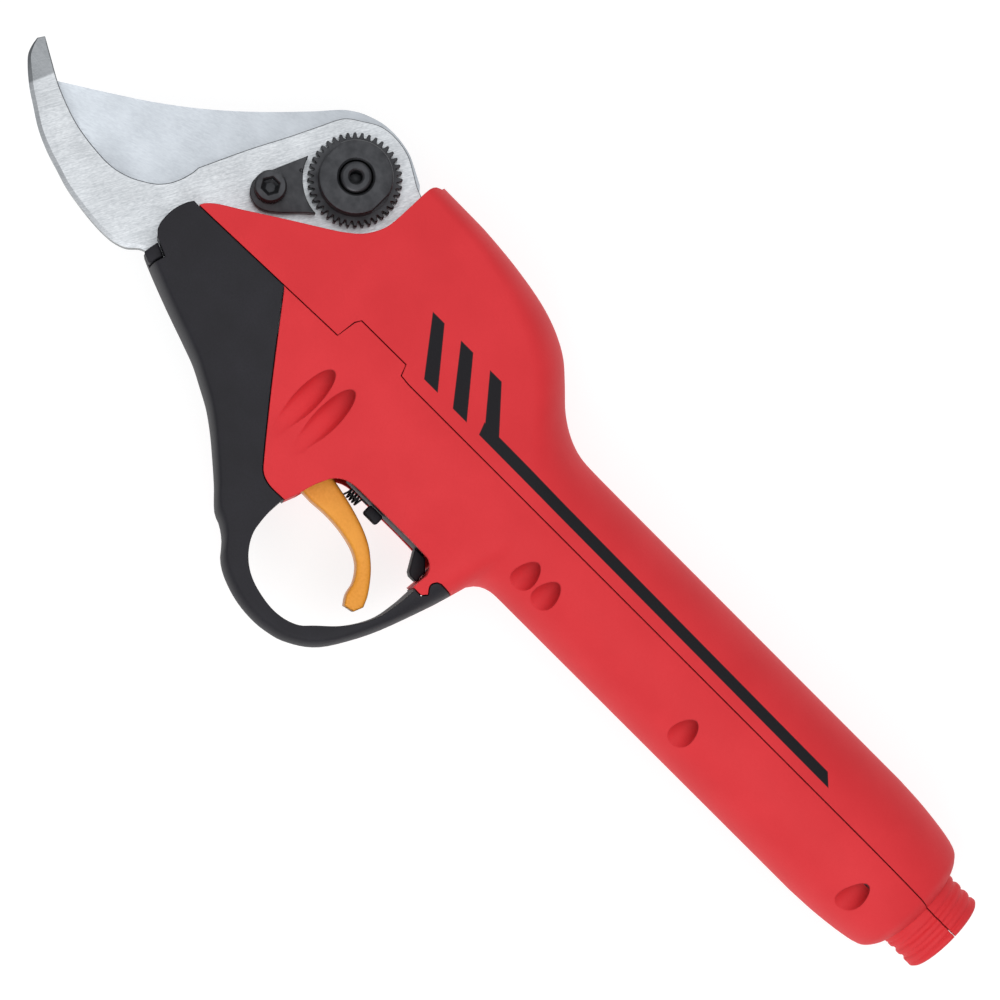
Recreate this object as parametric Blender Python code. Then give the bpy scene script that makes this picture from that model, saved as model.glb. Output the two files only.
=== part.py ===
"""Battery electric pruner: two casing halves and a finger guard around a ball-screw drive and a hooked pair of blades.

The tool lies on its side. +X runs from the cable socket to the blade tips, +Y from the back of the hand to the
trigger, and +Z up through the blade nut. Z = 0 is the flat side of the head. Sizes are in millimetres here and
become metres in the meshes.
"""

import math

import bmesh
import bpy
from mathutils import Matrix, Vector

MM = 0.001

# Casing
MID_Z = 20.0  # handle axis height, and half the casing's thickness
WALL = 2.6
SEAM_GAP = 0.3
FIT_GAP = 0.3
HANDLE_RADIUS = 20.0
NECK_RADIUS = 11.8
NECK_BORE = 9.5
TAIL_X = -242.8
DRIVE_BORE = 13.2  # round space for the motor and gearbox
PARTING_Y = -0.5

# Blades, from the far side up
PIVOT = (0.0, -28.7)
MOVING_BLADE_Z = (15.9, 19.9)
FIXED_BLADE_Z = (20.2, 25.2)
FRAME_Z = (25.5, 30.5)
PIVOT_RADIUS = 5.0
NUT_THREAD_RADIUS = 4.0
CUTTING_BEVEL = 7.0

# Drive
CRANK_RADIUS = 28.0  # pivot to drive pin
OPENING_DEG = 48.0
DRIVE_PIN_RADIUS = 3.0
SCREW_RADIUS = 4.0
SCREW_LEAD = 5.0
DRIVE_RADIUS = 12.8
MODULE = 0.5
SUN_TEETH, PLANET_TEETH, RING_TEETH = 12, 15, 42
PRESSURE_ANGLE = math.radians(25)
BACKLASH = 0.14
GEAR_X = (-98.5, -91.6)

# Trigger
TRIGGER_PIVOT = (-42.5, 31.7)
TRIGGER_HALF_WIDTH = 6.5
TRIGGER_SLOT_HALF_WIDTH = 3.6
TRIGGER_PIN_RADIUS = 1.6
SPRING_COIL = (-56.3, 27.75)
SPRING_RADIUS = 1.15
SPRING_WIRE_RADIUS = 0.27
SPRING_TURNS, SPRING_PITCH, SPRING_STEPS = 4, 0.95, 10

# Casing screws: place along X, floor of the recess in Y, and end of the screw in Y
CASE_SCREWS = [(-30.6, 6.4, -11.0), (-37.6, 6.4, -11.0), (-100.5, 4.6, -6.0), (-107.6, 4.6, -6.0),
               (-156.4, 4.6, -6.0), (-215.9, 4.6, -6.0)]
SCREW_OFFSET_Z = 15.2
RECESS_RADIUS = 3.1
CASE_SCREW_RADIUS = 1.2

# Outlines in X, Y
FRONT_EDGE = [(21.9, 4.8), (21.3, 3.5), (18.9, 1.3), (14.0, -1.8), (4.3, -8.1), (-5.5, -14.3), (-8.5, -16.4),
              (-11.6, -19.2), (-13.7, -22.5), (-14.7, -25.5), (-15.1, -31.7), (-15.4, -39.0), (-16.1, -40.8),
              (-17.4, -41.7)]
UPPER_GUARD_SEAM = [(21.9, 4.8), (-6.9, 3.9)]
PARTING_LINE = [(-6.9, 3.9), (-25.0, 3.3), (-25.7, -2.0), (-26.6, -3.5), (-42.1, -3.6), (-43.2, -0.8),
                (-46.0, PARTING_Y), (-250.0, PARTING_Y)]
LOWER_GUARD_SEAM = [(-6.9, 3.9), (-20.0, 20.8), (-29.8, 33.0), (-33.8, 37.8), (-35.4, 39.6), (-37.3, 40.7),
                    (-39.8, 41.2), (-44.5, 41.1)]
HOOK_SEAM = [(-82.6, 34.0), (-85.5, 34.0), (-86.7, 32.6), (-85.5, 31.0), (-85.4, 30.1), (-86.1, 28.9),
             (-87.3, 28.5), (-96.0, 28.5)]
TRIGGER_WINDOW = [(-83.0, 29.4), (-82.0, 27.5), (-79.9, 26.2), (-56.8, 26.1), (-53.1, 26.4), (-50.7, 27.4),
                  (-49.1, 28.9), (-48.2, 30.5), (-46.9, 33.5), (-45.8, 37.6)]
RING_INSIDE = [(-44.0, 41.3), (-43.8, 45.2), (-44.0, 48.3), (-44.7, 52.1), (-46.3, 55.2), (-48.8, 58.0),
               (-51.9, 60.1), (-55.7, 61.5), (-61.2, 62.4), (-65.6, 62.0), (-69.3, 60.5), (-72.2, 57.8),
               (-77.7, 52.4), (-81.6, 45.9), (-83.0, 39.4), (-83.4, 34.3)]
NOSE = [(21.0, 23.6), (24.0, 22.2), (24.0, 17.2), (25.3, 15.7), (25.9, 13.3), (25.7, 9.6), (24.6, 6.5),
        (23.5, 4.85)]
BACK_EDGE = [(27.0, -44.0), (-29.5, -43.9), (-37.0, -43.5), (-44.4, -42.8), (-54.4, -41.2), (-59.3, -39.9),
             (-64.3, -37.9), (-69.3, -35.0), (-74.2, -30.6), (-79.2, -25.8), (-84.2, -22.5), (-89.2, -20.6),
             (-94.1, -20.1), (-105.0, -20.0)]
GUARD_EDGE = [(27.0, 21.0), (21.0, 23.6), (11.0, 27.5), (0.9, 31.1), (-4.1, 33.0), (-9.1, 35.6),
              (-14.2, 38.4), (-19.2, 42.0), (-24.2, 46.2), (-29.3, 50.7), (-34.3, 55.5), (-37.4, 56.9),
              (-40.9, 59.6), (-43.2, 62.4), (-45.7, 64.3), (-49.4, 66.0), (-54.4, 67.4), (-60.1, 67.9),
              (-64.5, 67.5), (-69.5, 66.1), (-77.0, 60.8), (-81.3, 54.2), (-84.6, 47.6), (-87.9, 38.9),
              (-91.2, 29.0), (-92.1, 25.2), (-93.3, 23.0), (-94.9, 21.4), (-97.4, 20.3), (-100.2, 20.0),
              (-105.0, 20.0)]
TAIL_PROFILE = [(-206.4, 20.0), (-214.4, 19.6), (-219.4, 19.1), (-224.4, 18.4), (-227.9, 17.6), (-229.4, 16.9),
                (-230.7, 15.5), (-231.7, 13.8), (-232.4, NECK_RADIUS), (TAIL_X, NECK_RADIUS)]
CAVITY_BACK = [(19.0, 8.0), (12.0, 2.5), (4.0, -2.5), (-5.0, -8.5), (-12.0, -14.0), (-17.5, -22.0),
               (-20.5, -36.0), (-23.0, -41.2), (-36.0, -40.8), (-54.0, -38.4), (-64.0, -35.1), (-69.0, -32.2),
               (-74.0, -27.8), (-79.0, -23.0), (-84.0, -19.7), (-89.0, -17.9), (-95.0, -17.4)]
CAVITY_TRIGGER = [(19.0, 17.5), (12.0, 21.0), (4.0, 24.0), (-36.0, 24.0), (-37.0, 37.8), (-82.0, 37.8),
                  (-83.0, 18.6), (-95.0, 17.4)]
MOUTH = [(35.0, -50.0), (35.0, 21.9), (12.0, 21.9), (-12.0, 12.0), (-20.0, -6.0), (-23.0, -26.0),
         (-21.5, -38.0), (-17.0, -41.0), (-17.0, -50.0)]
MOUTH_Z = (10.3, 25.6)
FRAME_OUTLINE = [(-22.0, 15.5), (-18.0, 12.0), (-8.0, 13.5), (4.0, 17.0), (13.0, 16.0), (14.0, 8.5), (8.0, 4.5),
                 (-2.0, -1.5), (-11.0, -9.0), (-20.5, -20.0), (-22.5, -34.0), (-31.0, -34.0), (-36.0, -15.5)]

FIXED_BLADE_HOOK = [(80.4, 0.7), (81.5, 2.4), (81.0, 4.9), (79.8, 7.4), (74.8, 12.0), (69.8, 15.4), (64.9, 18.5),
                    (59.9, 20.7), (54.9, 22.3), (50.0, 23.8), (45.0, 24.7), (40.0, 25.3), (35.6, 25.5),
                    (32.0, 25.2), (28.8, 24.1), (25.1, 21.3)]
FIXED_BLADE_ROOT = [(14.0, 20.6), (4.0, 18.0), (-8.0, 12.0), (-17.0, 9.0), (-18.5, -8.0), (-22.0, -17.0),
                    (-30.0, -18.5), (-30.5, -32.0), (-20.5, -35.6), (-14.3, -38.3), (-12.1, -39.2), (-8.4, -41.4),
                    (-4.7, -43.3), (0.3, -44.2), (5.2, -43.6), (10.2, -40.7), (12.7, -38.9), (14.2, -36.8),
                    (16.1, -32.7), (20.1, -24.3), (24.5, -15.6)]
FIXED_BLADE_THROAT = [(30.1, -3.2), (30.2, -1.7), (30.6, 0.2), (31.3, 2.4), (32.6, 4.9), (34.5, 7.1), (36.9, 8.8),
                      (40.0, 10.5), (43.7, 11.7), (46.9, 12.1), (50.0, 12.0), (54.9, 11.5), (59.9, 10.5),
                      (64.9, 8.8), (69.8, 6.7), (74.8, 3.9)]
MOVING_BLADE_SPINE = [(-8.1, -42.8), (-4.4, -44.5), (0.6, -45.5), (5.6, -45.3), (10.6, -43.6), (13.1, -42.2),
                      (15.6, -40.2), (20.6, -34.5), (30.6, -24.1), (40.6, -15.0), (50.6, -7.3), (60.6, -0.6),
                      (70.6, 5.8)]
MOVING_BLADE_EDGE = [(72.6, 7.2), (66.0, 10.6), (58.0, 13.6), (50.0, 15.2), (42.0, 15.0), (34.0, 12.2),
                     (27.0, 7.4), (21.0, 0.6), (17.0, -7.0)]
LOCK_PLATE = [(17.9, -12.0), (17.6, -9.6), (16.1, -7.4), (13.3, -6.3), (10.8, -6.8), (7.4, -9.3), (3.8, -13.0),
              (0.9, -15.6)]
LOCK_SCREW = (13.4, -11.9)
BLADE_SCREWS = [(-25.0, -27.0), (8.5, 11.0), (-13.0, 6.0)]
TRIGGER_OUTLINE = [(-49.4, 36.2), (-54.4, 35.9), (-59.3, 36.2), (-63.7, 37.1), (-66.8, 38.3), (-69.3, 40.2),
                   (-71.4, 43.4), (-72.2, 46.6), (-73.8, 49.1), (-76.6, 48.5), (-77.6, 46.0), (-76.2, 43.0),
                   (-72.7, 38.4), (-69.3, 35.3), (-66.8, 33.6), (-63.1, 31.9), (-58.4, 30.4), (-54.4, 29.4),
                   (-48.5, 28.2)]


# ---------------------------------------------------------------- helpers

def clearScene():
    for old in list(bpy.data.objects):
        bpy.data.objects.remove(old, do_unlink=True)


def makeMaterial(name, colour, roughness, metallic):
    material = bpy.data.materials.new(name)
    material.use_nodes = True
    shader = material.node_tree.nodes["Principled BSDF"]
    shader.inputs["Base Color"].default_value = (*colour, 1.0)
    shader.inputs["Roughness"].default_value = roughness
    shader.inputs["Metallic"].default_value = metallic
    return material


def interpolate(table, x):
    """The value at x in a table of (x, value), read in either order along x."""
    points = sorted(table)
    if x <= points[0][0]:
        return points[0][1]
    for (x0, v0), (x1, v1) in zip(points, points[1:]):
        if x <= x1:
            return v0 + (v1 - v0) * (x - x0) / (x1 - x0)
    return points[-1][1]


def offsetPath(path, distance):
    """An open path moved sideways, to the left of its direction when distance is positive."""
    moved = []
    for i, (x, y) in enumerate(path):
        before = Vector(path[max(i - 1, 0)])
        after = Vector(path[min(i + 1, len(path) - 1)])
        along = (after - before).normalized()
        moved.append((x - along.y * distance, y + along.x * distance))
    return moved


def arc(centre, radius, start, end, count):
    angles = [math.radians(start + (end - start) * i / (count - 1)) for i in range(count)]
    return [(centre[0] + radius * math.cos(a), centre[1] + radius * math.sin(a)) for a in angles]


def finishMesh(name, mesh, material, origin=(0, 0, 0), parent=None, helper=False):
    """Puts a mesh built in millimetres into the scene, with its origin at the given point."""
    mesh.transform(Matrix.Scale(MM, 4) @ Matrix.Translation(-Vector(origin)))
    mesh.update()
    obj = bpy.data.objects.new(name, mesh)
    obj.location = Vector(origin) * MM
    bpy.context.scene.collection.objects.link(obj)
    if parent:
        obj.parent = parent
        obj.location = Vector(origin) * MM - parent.location
    if helper:
        obj.hide_render = True
        obj.display_type = "WIRE"
    else:
        mesh.materials.append(material)
        mesh.shade_smooth()
        mesh.set_sharp_from_angle(angle=math.radians(32))
    return obj


def meshFromRings(name, rings, closed=False, triangles=False):
    """Joins rings of equal length with quads; a one-point ring is a tip, and end rings are capped.

    triangles splits quads that aren't flat, so that a Boolean reads them exactly.
    """
    form = bmesh.new()
    levels = [[form.verts.new(point) for point in ring] for ring in rings]
    pairs = list(zip(levels, levels[1:]))
    if closed:
        pairs.append((levels[-1], levels[0]))
    for low, high in pairs:
        count = max(len(low), len(high))
        for i in range(count):
            j = (i + 1) % count
            if len(low) == 1:
                form.faces.new((low[0], high[i], high[j]))
            elif len(high) == 1:
                form.faces.new((low[i], low[j], high[0]))
            else:
                form.faces.new((low[i], low[j], high[j], high[i]))
    if not closed:
        for end in (levels[0], levels[-1]):
            if len(end) > 2:
                form.faces.new(end)
    if triangles:
        bmesh.ops.triangulate(form, faces=form.faces)
    bmesh.ops.recalc_face_normals(form, faces=form.faces)
    mesh = bpy.data.meshes.new(name)
    form.to_mesh(mesh)
    form.free()
    return mesh


def prism(name, outline, low, high, material=None, **place):
    rings = [[(x, y, z) for x, y in outline] for z in (low, high)]
    return finishMesh(name, meshFromRings(name, rings), material, **place)


def block(name, low, high, material=None, **place):
    outline = [(low[0], low[1]), (high[0], low[1]), (high[0], high[1]), (low[0], high[1])]
    return prism(name, outline, low[2], high[2], material, **place)


def alongAxis(axis, centre, radius, angle, height):
    """A point of a turned shape: height along the axis, radius and angle around it. centre holds the other two."""
    u = radius * math.cos(angle)
    v = radius * math.sin(angle)
    if axis == "X":
        return (height, centre[0] + u, centre[1] + v)
    if axis == "Y":
        return (centre[0] + u, height, centre[1] + v)
    return (centre[0] + u, centre[1] + v, height)


def turned(name, profile, axis, centre, material=None, segments=24, closed=False, **place):
    """A solid of revolution from a profile of (radius, height); closed makes it a ring with an open bore."""
    rings = []
    for radius, height in profile:
        steps = segments if radius > 0 else 1
        angles = [2 * math.pi * i / segments for i in range(steps)]
        rings.append([alongAxis(axis, centre, radius, angle, height) for angle in angles])
    return finishMesh(name, meshFromRings(name, rings, closed), material, **place)


def tube(name, inner, outer, low, high, axis, centre, material=None, **place):
    profile = [(inner, low), (outer, low), (outer, high), (inner, high)]
    return turned(name, profile, axis, centre, material, closed=True, **place)


def rod(name, radius, low, high, axis, centre, material=None, **place):
    profile = [(0, low), (radius, low), (radius, high), (0, high)]
    return turned(name, profile, axis, centre, material, **place)


def boolean(target, tool, operation="DIFFERENCE", solver="EXACT"):
    """solver is MANIFOLD only on the casing, whose lofted faces the exact solver loses."""
    step = target.modifiers.new(operation.title(), "BOOLEAN")
    step.operation = operation
    step.solver = solver
    step.object = tool


def bevel(target, width, segments=2, angle=40):
    step = target.modifiers.new("Bevel", "BEVEL")
    step.width = width * MM
    step.segments = segments
    step.limit_method = "ANGLE"
    step.angle_limit = math.radians(angle)


def helperRod(name, radius, low, high, axis, centre, segments=16):
    return rod(name, radius, low, high, axis, centre, segments=segments, helper=True)


# ---------------------------------------------------------------- casing

def sideTaper(y):
    """Half thickness of the head across Y: flat at the back, thinning towards the finger guard."""
    return MID_Z - 0.33 * min(max(y - 5, 0), 21) - 0.16 * max(y - 26, 0)


def casingSection(x, back, front, back_radius, half, wall, edge, handle_share):
    """One closed ring of casing points in the plane x. handle_share runs from 0, the head, to 1, the round handle."""
    near = []
    for degrees in (0, 14, 32, 52, 72, 90 - 9 * handle_share):
        angle = math.radians(degrees)
        near.append((back + back_radius * (1 - math.cos(angle)), half * math.sin(angle)))
    flat_end = min(4.0, front - edge - 0.5) * (1 - handle_share)
    start = math.asin(min(1.0, flat_end / front))
    for i in range(8):
        share = i / 7
        angle = start + (math.pi / 2 - start) * share
        round_point = Vector((front * math.sin(angle), half * math.cos(angle)))
        if i <= 4:
            y = flat_end + (front - edge - flat_end) * i / 4
            head_point = Vector((y, min(sideTaper(y) - wall, half)))
        else:
            turn = math.radians((38, 68, 90)[i - 5])
            height = sideTaper(front - edge) - wall
            head_point = Vector((front - edge + edge * math.sin(turn), height * math.cos(turn)))
        near.append(tuple(head_point.lerp(round_point, handle_share)))
    ring = [(x, y, MID_Z + h) for y, h in near[:-1]]
    ring.append((x, near[-1][0], MID_Z))
    ring += [(x, y, MID_Z - h) for y, h in reversed(near[1:-1])]
    return ring


def handleShare(x):
    share = min(max((-70.0 - x) / 30.0, 0.0), 1.0)
    return share * share * (3 - 2 * share)


def backRadius(x):
    return interpolate([(27, 6), (-30, 7), (-50, 9.5), (-70, 14), (-95, 20)], x)


def casingForm(name):
    """The whole outer form of the casing, before the seams divide it."""
    stations = sorted({x for x, _ in GUARD_EDGE + TAIL_PROFILE} | {-130.0})
    rings = []
    for x in stations:
        radius = interpolate(TAIL_PROFILE, x) if x < -206 else HANDLE_RADIUS
        back = -radius if x < -105 else interpolate(BACK_EDGE, x)
        front = radius if x < -105 else interpolate(GUARD_EDGE, x)
        turn_in = radius if x < -105 else min(backRadius(x), -back)
        rings.append(casingSection(x, back, front, turn_in, radius, 0.0, 3.0, handleShare(x)))
    return finishMesh(name, meshFromRings(name, rings, triangles=True), None, helper=True)


def screwSides():
    return [(index, side) for index in range(len(CASE_SCREWS)) for side in (-1, 1)]


def cavityForm():
    """The hollow: a chamber in the head, the round handle, and solid bosses left around the casing screws."""
    stations = sorted({x for x, _ in CAVITY_BACK + CAVITY_TRIGGER} | {-46.0, -130.0, -206.0, -214.0, -222.0})
    rings = []
    for x in stations:
        shrink = max(0.0, -206.0 - x) * 0.12
        half = MID_Z - WALL - shrink
        back = -half if x < -95 else interpolate(CAVITY_BACK, x)
        front = half if x < -95 else interpolate(CAVITY_TRIGGER, x)
        turn_in = half if x < -95 else max(2.5, min(backRadius(x) - WALL, -back))
        rings.append(casingSection(x, back, front, turn_in, half, WALL, 0.6, handleShare(x)))
    cavity = finishMesh("cavity", meshFromRings("cavity", rings, triangles=True), None, helper=True)
    bosses = [(-42.0, -26.0, 11.6, -13.0, 30.0), (-112.5, -95.5, 11.0, -19.0, 19.0), (-161.5, -151.5, 11.0, -19.0, 19.0),
              (-220.5, -211.5, 11.0, -19.0, 19.0)]
    for i, (low_x, high_x, offset, low_y, high_y) in enumerate(bosses):
        for side in (-1, 1):
            edges = sorted((MID_Z + side * offset, MID_Z + side * 25))
            boss = block(f"boss_{i}_{side}", (low_x, low_y, edges[0]), (high_x, high_y, edges[1]), helper=True)
            boolean(cavity, boss, solver="MANIFOLD")
    bore = helperRod("drive_bore", DRIVE_BORE, -223.0, -86.0, "X", (0, MID_Z), 40)
    boolean(cavity, bore, "UNION", solver="MANIFOLD")
    return cavity


def casingCutters():
    """What is taken out of every casing piece."""
    cutters = [cavityForm()]
    cutters.append(prism("mouth", MOUTH, *MOUTH_Z, helper=True))
    cutters.append(helperRod("neck_bore", NECK_BORE, TAIL_X - 5, -218.0, "X", (0, MID_Z), 32))
    pin_reach = 11.0
    cutters.append(helperRod("trigger_pin_hole", TRIGGER_PIN_RADIUS + FIT_GAP, MID_Z - pin_reach, MID_Z + pin_reach,
                             "Z", TRIGGER_PIVOT, 12))
    for index, side in screwSides():
        x, floor, end = CASE_SCREWS[index]
        centre = (x, MID_Z + side * SCREW_OFFSET_Z)
        hole = CASE_SCREW_RADIUS + FIT_GAP
        profile = [(0, end - FIT_GAP), (hole, end - FIT_GAP), (hole, floor), (RECESS_RADIUS, floor),
                   (RECESS_RADIUS, 45.0), (0, 45.0)]
        cutters.append(turned(f"recess_{index}_{side}", profile, "Y", centre, segments=10, helper=True))
    return cutters


def casingPiece(name, region, material, cutters):
    """One moulding: the casing form inside its own seams, less the hollow and the holes."""
    piece = casingForm(name)
    piece.hide_render = False
    piece.display_type = "TEXTURED"
    piece.data.materials.append(material)
    piece.data.shade_smooth()
    piece.data.set_sharp_from_angle(angle=math.radians(32))
    boolean(piece, prism(f"{name}_region", region, -10, 50, helper=True), "INTERSECT", solver="MANIFOLD")
    for cutter in cutters:
        boolean(piece, cutter, solver="MANIFOLD")
    return piece


def buildCasing(red, black):
    cutters = casingCutters()
    gap = SEAM_GAP / 2
    upper = offsetPath(PARTING_LINE, gap)[::-1] + offsetPath(UPPER_GUARD_SEAM, gap)[-2::-1] + FRONT_EDGE[1:]
    upper += [(-17.4, -60.0), (-250.0, -60.0)]
    casingPiece("upper_shell", upper, red, cutters)
    lower = offsetPath(PARTING_LINE, -gap) + [(-250.0, 28.2)] + offsetPath(HOOK_SEAM, gap)[::-1]
    lower += TRIGGER_WINDOW + offsetPath(LOWER_GUARD_SEAM, gap)[:0:-1]
    casingPiece("lower_shell", lower, red, cutters)
    guard = offsetPath(UPPER_GUARD_SEAM, -gap) + offsetPath(LOWER_GUARD_SEAM, -gap)[1:] + RING_INSIDE
    guard += offsetPath(HOOK_SEAM, -gap)[1:] + [(-96.0, 80.0), (21.0, 80.0)] + NOSE
    insert_seat = [(30.0, 16.4), (23.2, 17.5), (19.1, 19.3), (20.7, 24.0), (30.0, 24.0)]
    seat = prism("insert_seat", insert_seat, FIXED_BLADE_Z[1] + 0.3, 50, helper=True)
    casingPiece("front_guard", guard, black, cutters + [seat])
    insert = [(23.2, 17.9), (19.6, 19.5), (21.1, 23.3), (23.9, 22.1)]
    bevel(prism("guard_insert", insert, FIXED_BLADE_Z[1] + 0.6, 33.0, black), 0.4)


def buildCaseScrews(steel):
    for index, side in screwSides():
        x, floor, end = CASE_SCREWS[index]
        head_low = floor + FIT_GAP
        top = head_low + 1.8
        profile = [(0, end), (CASE_SCREW_RADIUS, end + 0.6), (CASE_SCREW_RADIUS, head_low), (2.3, head_low),
                   (2.3, top), (1.1, top), (1.1, top - 1.1), (0, top - 1.1)]
        side_word = "near" if side > 0 else "far"
        turned(f"case_screw_{index + 1}_{side_word}", profile, "Y", (x, MID_Z + side * SCREW_OFFSET_Z), steel,
               segments=10, origin=(x, floor, MID_Z + side * SCREW_OFFSET_Z))


# ---------------------------------------------------------------- blades

def buildFixedBlade(steel):
    outline = FIXED_BLADE_HOOK + FIXED_BLADE_ROOT + FIXED_BLADE_THROAT
    blade = prism("fixed_blade", outline, *FIXED_BLADE_Z, steel)
    boolean(blade, helperRod("fixed_pivot_hole", PIVOT_RADIUS + FIT_GAP, 10, 35, "Z", PIVOT, 28))
    for i, place in enumerate(BLADE_SCREWS):
        boolean(blade, helperRod(f"blade_tap_{i}", 2.3, 10, 35, "Z", place, 14))
    boolean(blade, helperRod("lock_tap", 2.8, 10, 35, "Z", LOCK_SCREW, 14))


def restPinAngle():
    return 90 + OPENING_DEG / 2


def pinPlace():
    angle = math.radians(restPinAngle())
    return (PIVOT[0] + CRANK_RADIUS * math.cos(angle), PIVOT[1] + CRANK_RADIUS * math.sin(angle))


def buildMovingBlade(steel, bronze, hinge):
    pin = pinPlace()
    lug = arc(pin, 6.4, 30, 200, 9)
    heel = arc(PIVOT, 17.0, 165, 225, 6)
    body = lug + heel + MOVING_BLADE_SPINE
    outline = body + MOVING_BLADE_EDGE + [(10.5, -13.0), (0.0, -9.5)]
    edge_start = len(body)
    edge_end = edge_start + len(MOVING_BLADE_EDGE)
    inner = list(outline)
    inward = offsetPath(outline, CUTTING_BEVEL)
    for i in range(edge_start, edge_end):
        share = min(1.0, (i - edge_start + 0.6) / 2.5, (edge_end - i) / 2)
        inner[i] = tuple(Vector(outline[i]).lerp(Vector(inward[i]), share))
    low, high = MOVING_BLADE_Z
    rings = [[(x, y, low) for x, y in inner], [(x, y, high - 0.4) for x, y in outline],
             [(x, y, high) for x, y in outline]]
    origin = (*PIVOT, 0.5 * (low + high))
    blade = finishMesh("moving_blade", meshFromRings("moving_blade", rings), steel, origin=origin, parent=hinge)
    boolean(blade, helperRod("bush_hole", 6.8, 10, 30, "Z", PIVOT, 28))
    boolean(blade, helperRod("pin_hole", DRIVE_PIN_RADIUS + FIT_GAP, 10, 30, "Z", pin, 20))
    tube("pivot_bush", PIVOT_RADIUS + FIT_GAP, 6.5, low, high, "Z", PIVOT, bronze, origin=origin, parent=hinge)
    profile = [(0, 10.9), (DRIVE_PIN_RADIUS - 0.3, 10.9), (DRIVE_PIN_RADIUS, 11.2), (DRIVE_PIN_RADIUS, high), (0, high)]
    turned("drive_pin", profile, "Z", pin, steel, segments=20, origin=(*pin, high), parent=hinge)


def buildPivot(steel, black_steel):
    profile = [(0, 7.5), (9.2, 7.5), (10.0, 8.3), (10.0, 12.5), (PIVOT_RADIUS, 12.5), (PIVOT_RADIUS, 25.3),
               (NUT_THREAD_RADIUS, 25.3), (NUT_THREAD_RADIUS, 34.5), (3.4, 35.1), (1.65, 35.1), (1.65, 32.0), (0, 32.0)]
    bolt = turned("pivot_bolt", profile, "Z", PIVOT, black_steel, segments=28, origin=(*PIVOT, 12.5))
    socket = prism("bolt_socket", arc(PIVOT, 3.4, 0, 300, 6), 5.0, 10.5, helper=True)
    boolean(bolt, socket)
    tube("thrust_washer", PIVOT_RADIUS + FIT_GAP, 9.5, 12.8, 15.6, "Z", PIVOT, steel, origin=(*PIVOT, 12.8))


def toothedOutline(centre, teeth, outer, root):
    outline = []
    for tooth in range(teeth):
        for share, radius in ((0.0, root), (0.3, root), (0.5, outer), (0.8, outer)):
            angle = 2 * math.pi * (tooth + share) / teeth
            outline.append((centre[0] + radius * math.cos(angle), centre[1] + radius * math.sin(angle)))
    return outline


def buildNut(black_steel):
    base, flange, top = 25.5, 29.5, 34.8
    nut = prism("toothed_nut", toothedOutline(PIVOT, 40, 12.0, 10.9), base, flange, black_steel, origin=(*PIVOT, base))
    body = rod("nut_body", 9.4, flange - 1, top, "Z", PIVOT, segments=32, helper=True)
    boolean(nut, body, "UNION")
    for side in (-1, 1):
        edges = sorted((PIVOT[0] + side * 8.7, PIVOT[0] + side * 12))
        flat = block(f"nut_flat_{side}", (edges[0], PIVOT[1] - 12, flange + 0.2), (edges[1], PIVOT[1] + 12, 40), helper=True)
        boolean(nut, flat)
    boolean(nut, helperRod("nut_thread", NUT_THREAD_RADIUS + FIT_GAP, 20, 40, "Z", PIVOT, 28))


def socketScrew(name, place, head_radius, head_low, head_height, shank_radius, low, hex_radius, material):
    top = head_low + head_height
    profile = [(0, low), (shank_radius, low + 0.4), (shank_radius, head_low), (head_radius, head_low),
               (head_radius, top - 0.4), (head_radius - 0.4, top), (0, top)]
    screw = turned(name, profile, "Z", place, material, segments=20, origin=(*place, head_low))
    boolean(screw, prism(f"{name}_hex", arc(place, hex_radius, 0, 300, 6), top - head_height * 0.55, top + 2, helper=True))


def buildLock(black_steel):
    concave = arc(PIVOT, 13.2, 88, 16, 8)
    lock = prism("lock_plate", LOCK_PLATE + concave, 25.5, 29.5, black_steel)
    boolean(lock, helperRod("lock_hole", 2.8, 20, 35, "Z", LOCK_SCREW, 16))
    bevel(lock, 0.5, 1, 30)
    socketScrew("lock_plate_screw", LOCK_SCREW, 4.15, 29.8, 4.6, 2.5, 20.6, 2.3, black_steel)


# ---------------------------------------------------------------- head frame and drive

def buildHeadFrame(alloy, steel, black_steel):
    frame = prism("head_frame", FRAME_OUTLINE, *FRAME_Z, alloy)
    rail_low = 12.0
    for side in (-1, 1):
        edges = sorted((side * 11.0, side * 15.4))
        rail = block(f"rail_{side}", (-70.0, edges[0], rail_low), (-22.5, edges[1], FRAME_Z[1] - 0.1), helper=True)
        boolean(frame, rail, "UNION")
    house = block("bearing_house", (-84.0, -14.0, 7.0), (-66.0, 14.0, 33.0), helper=True)
    boolean(frame, house, "UNION")
    boolean(frame, block("carriage_room", (-65.7, -10.9, 0.0), (-19.5, 10.9, 31.6), helper=True))
    boolean(frame, helperRod("bearing_seat", 11.3, -90.0, -72.0, "X", (0, MID_Z), 28))
    boolean(frame, helperRod("screw_way", 5.4, -80.0, -60.0, "X", (0, MID_Z), 20))
    for i, place in enumerate(BLADE_SCREWS):
        boolean(frame, helperRod(f"frame_hole_{i}", 2.3, 20, 40, "Z", place, 14))
        socketScrew(f"blade_screw_{i + 1}", place, 3.5, FRAME_Z[1] + 0.3, 3.0, 2.0, 20.6, 2.0, black_steel)
    tube("screw_bearing", SCREW_RADIUS + FIT_GAP, 11.0, -79.0, -72.3, "X", (0, MID_Z), steel, segments=28)


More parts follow.
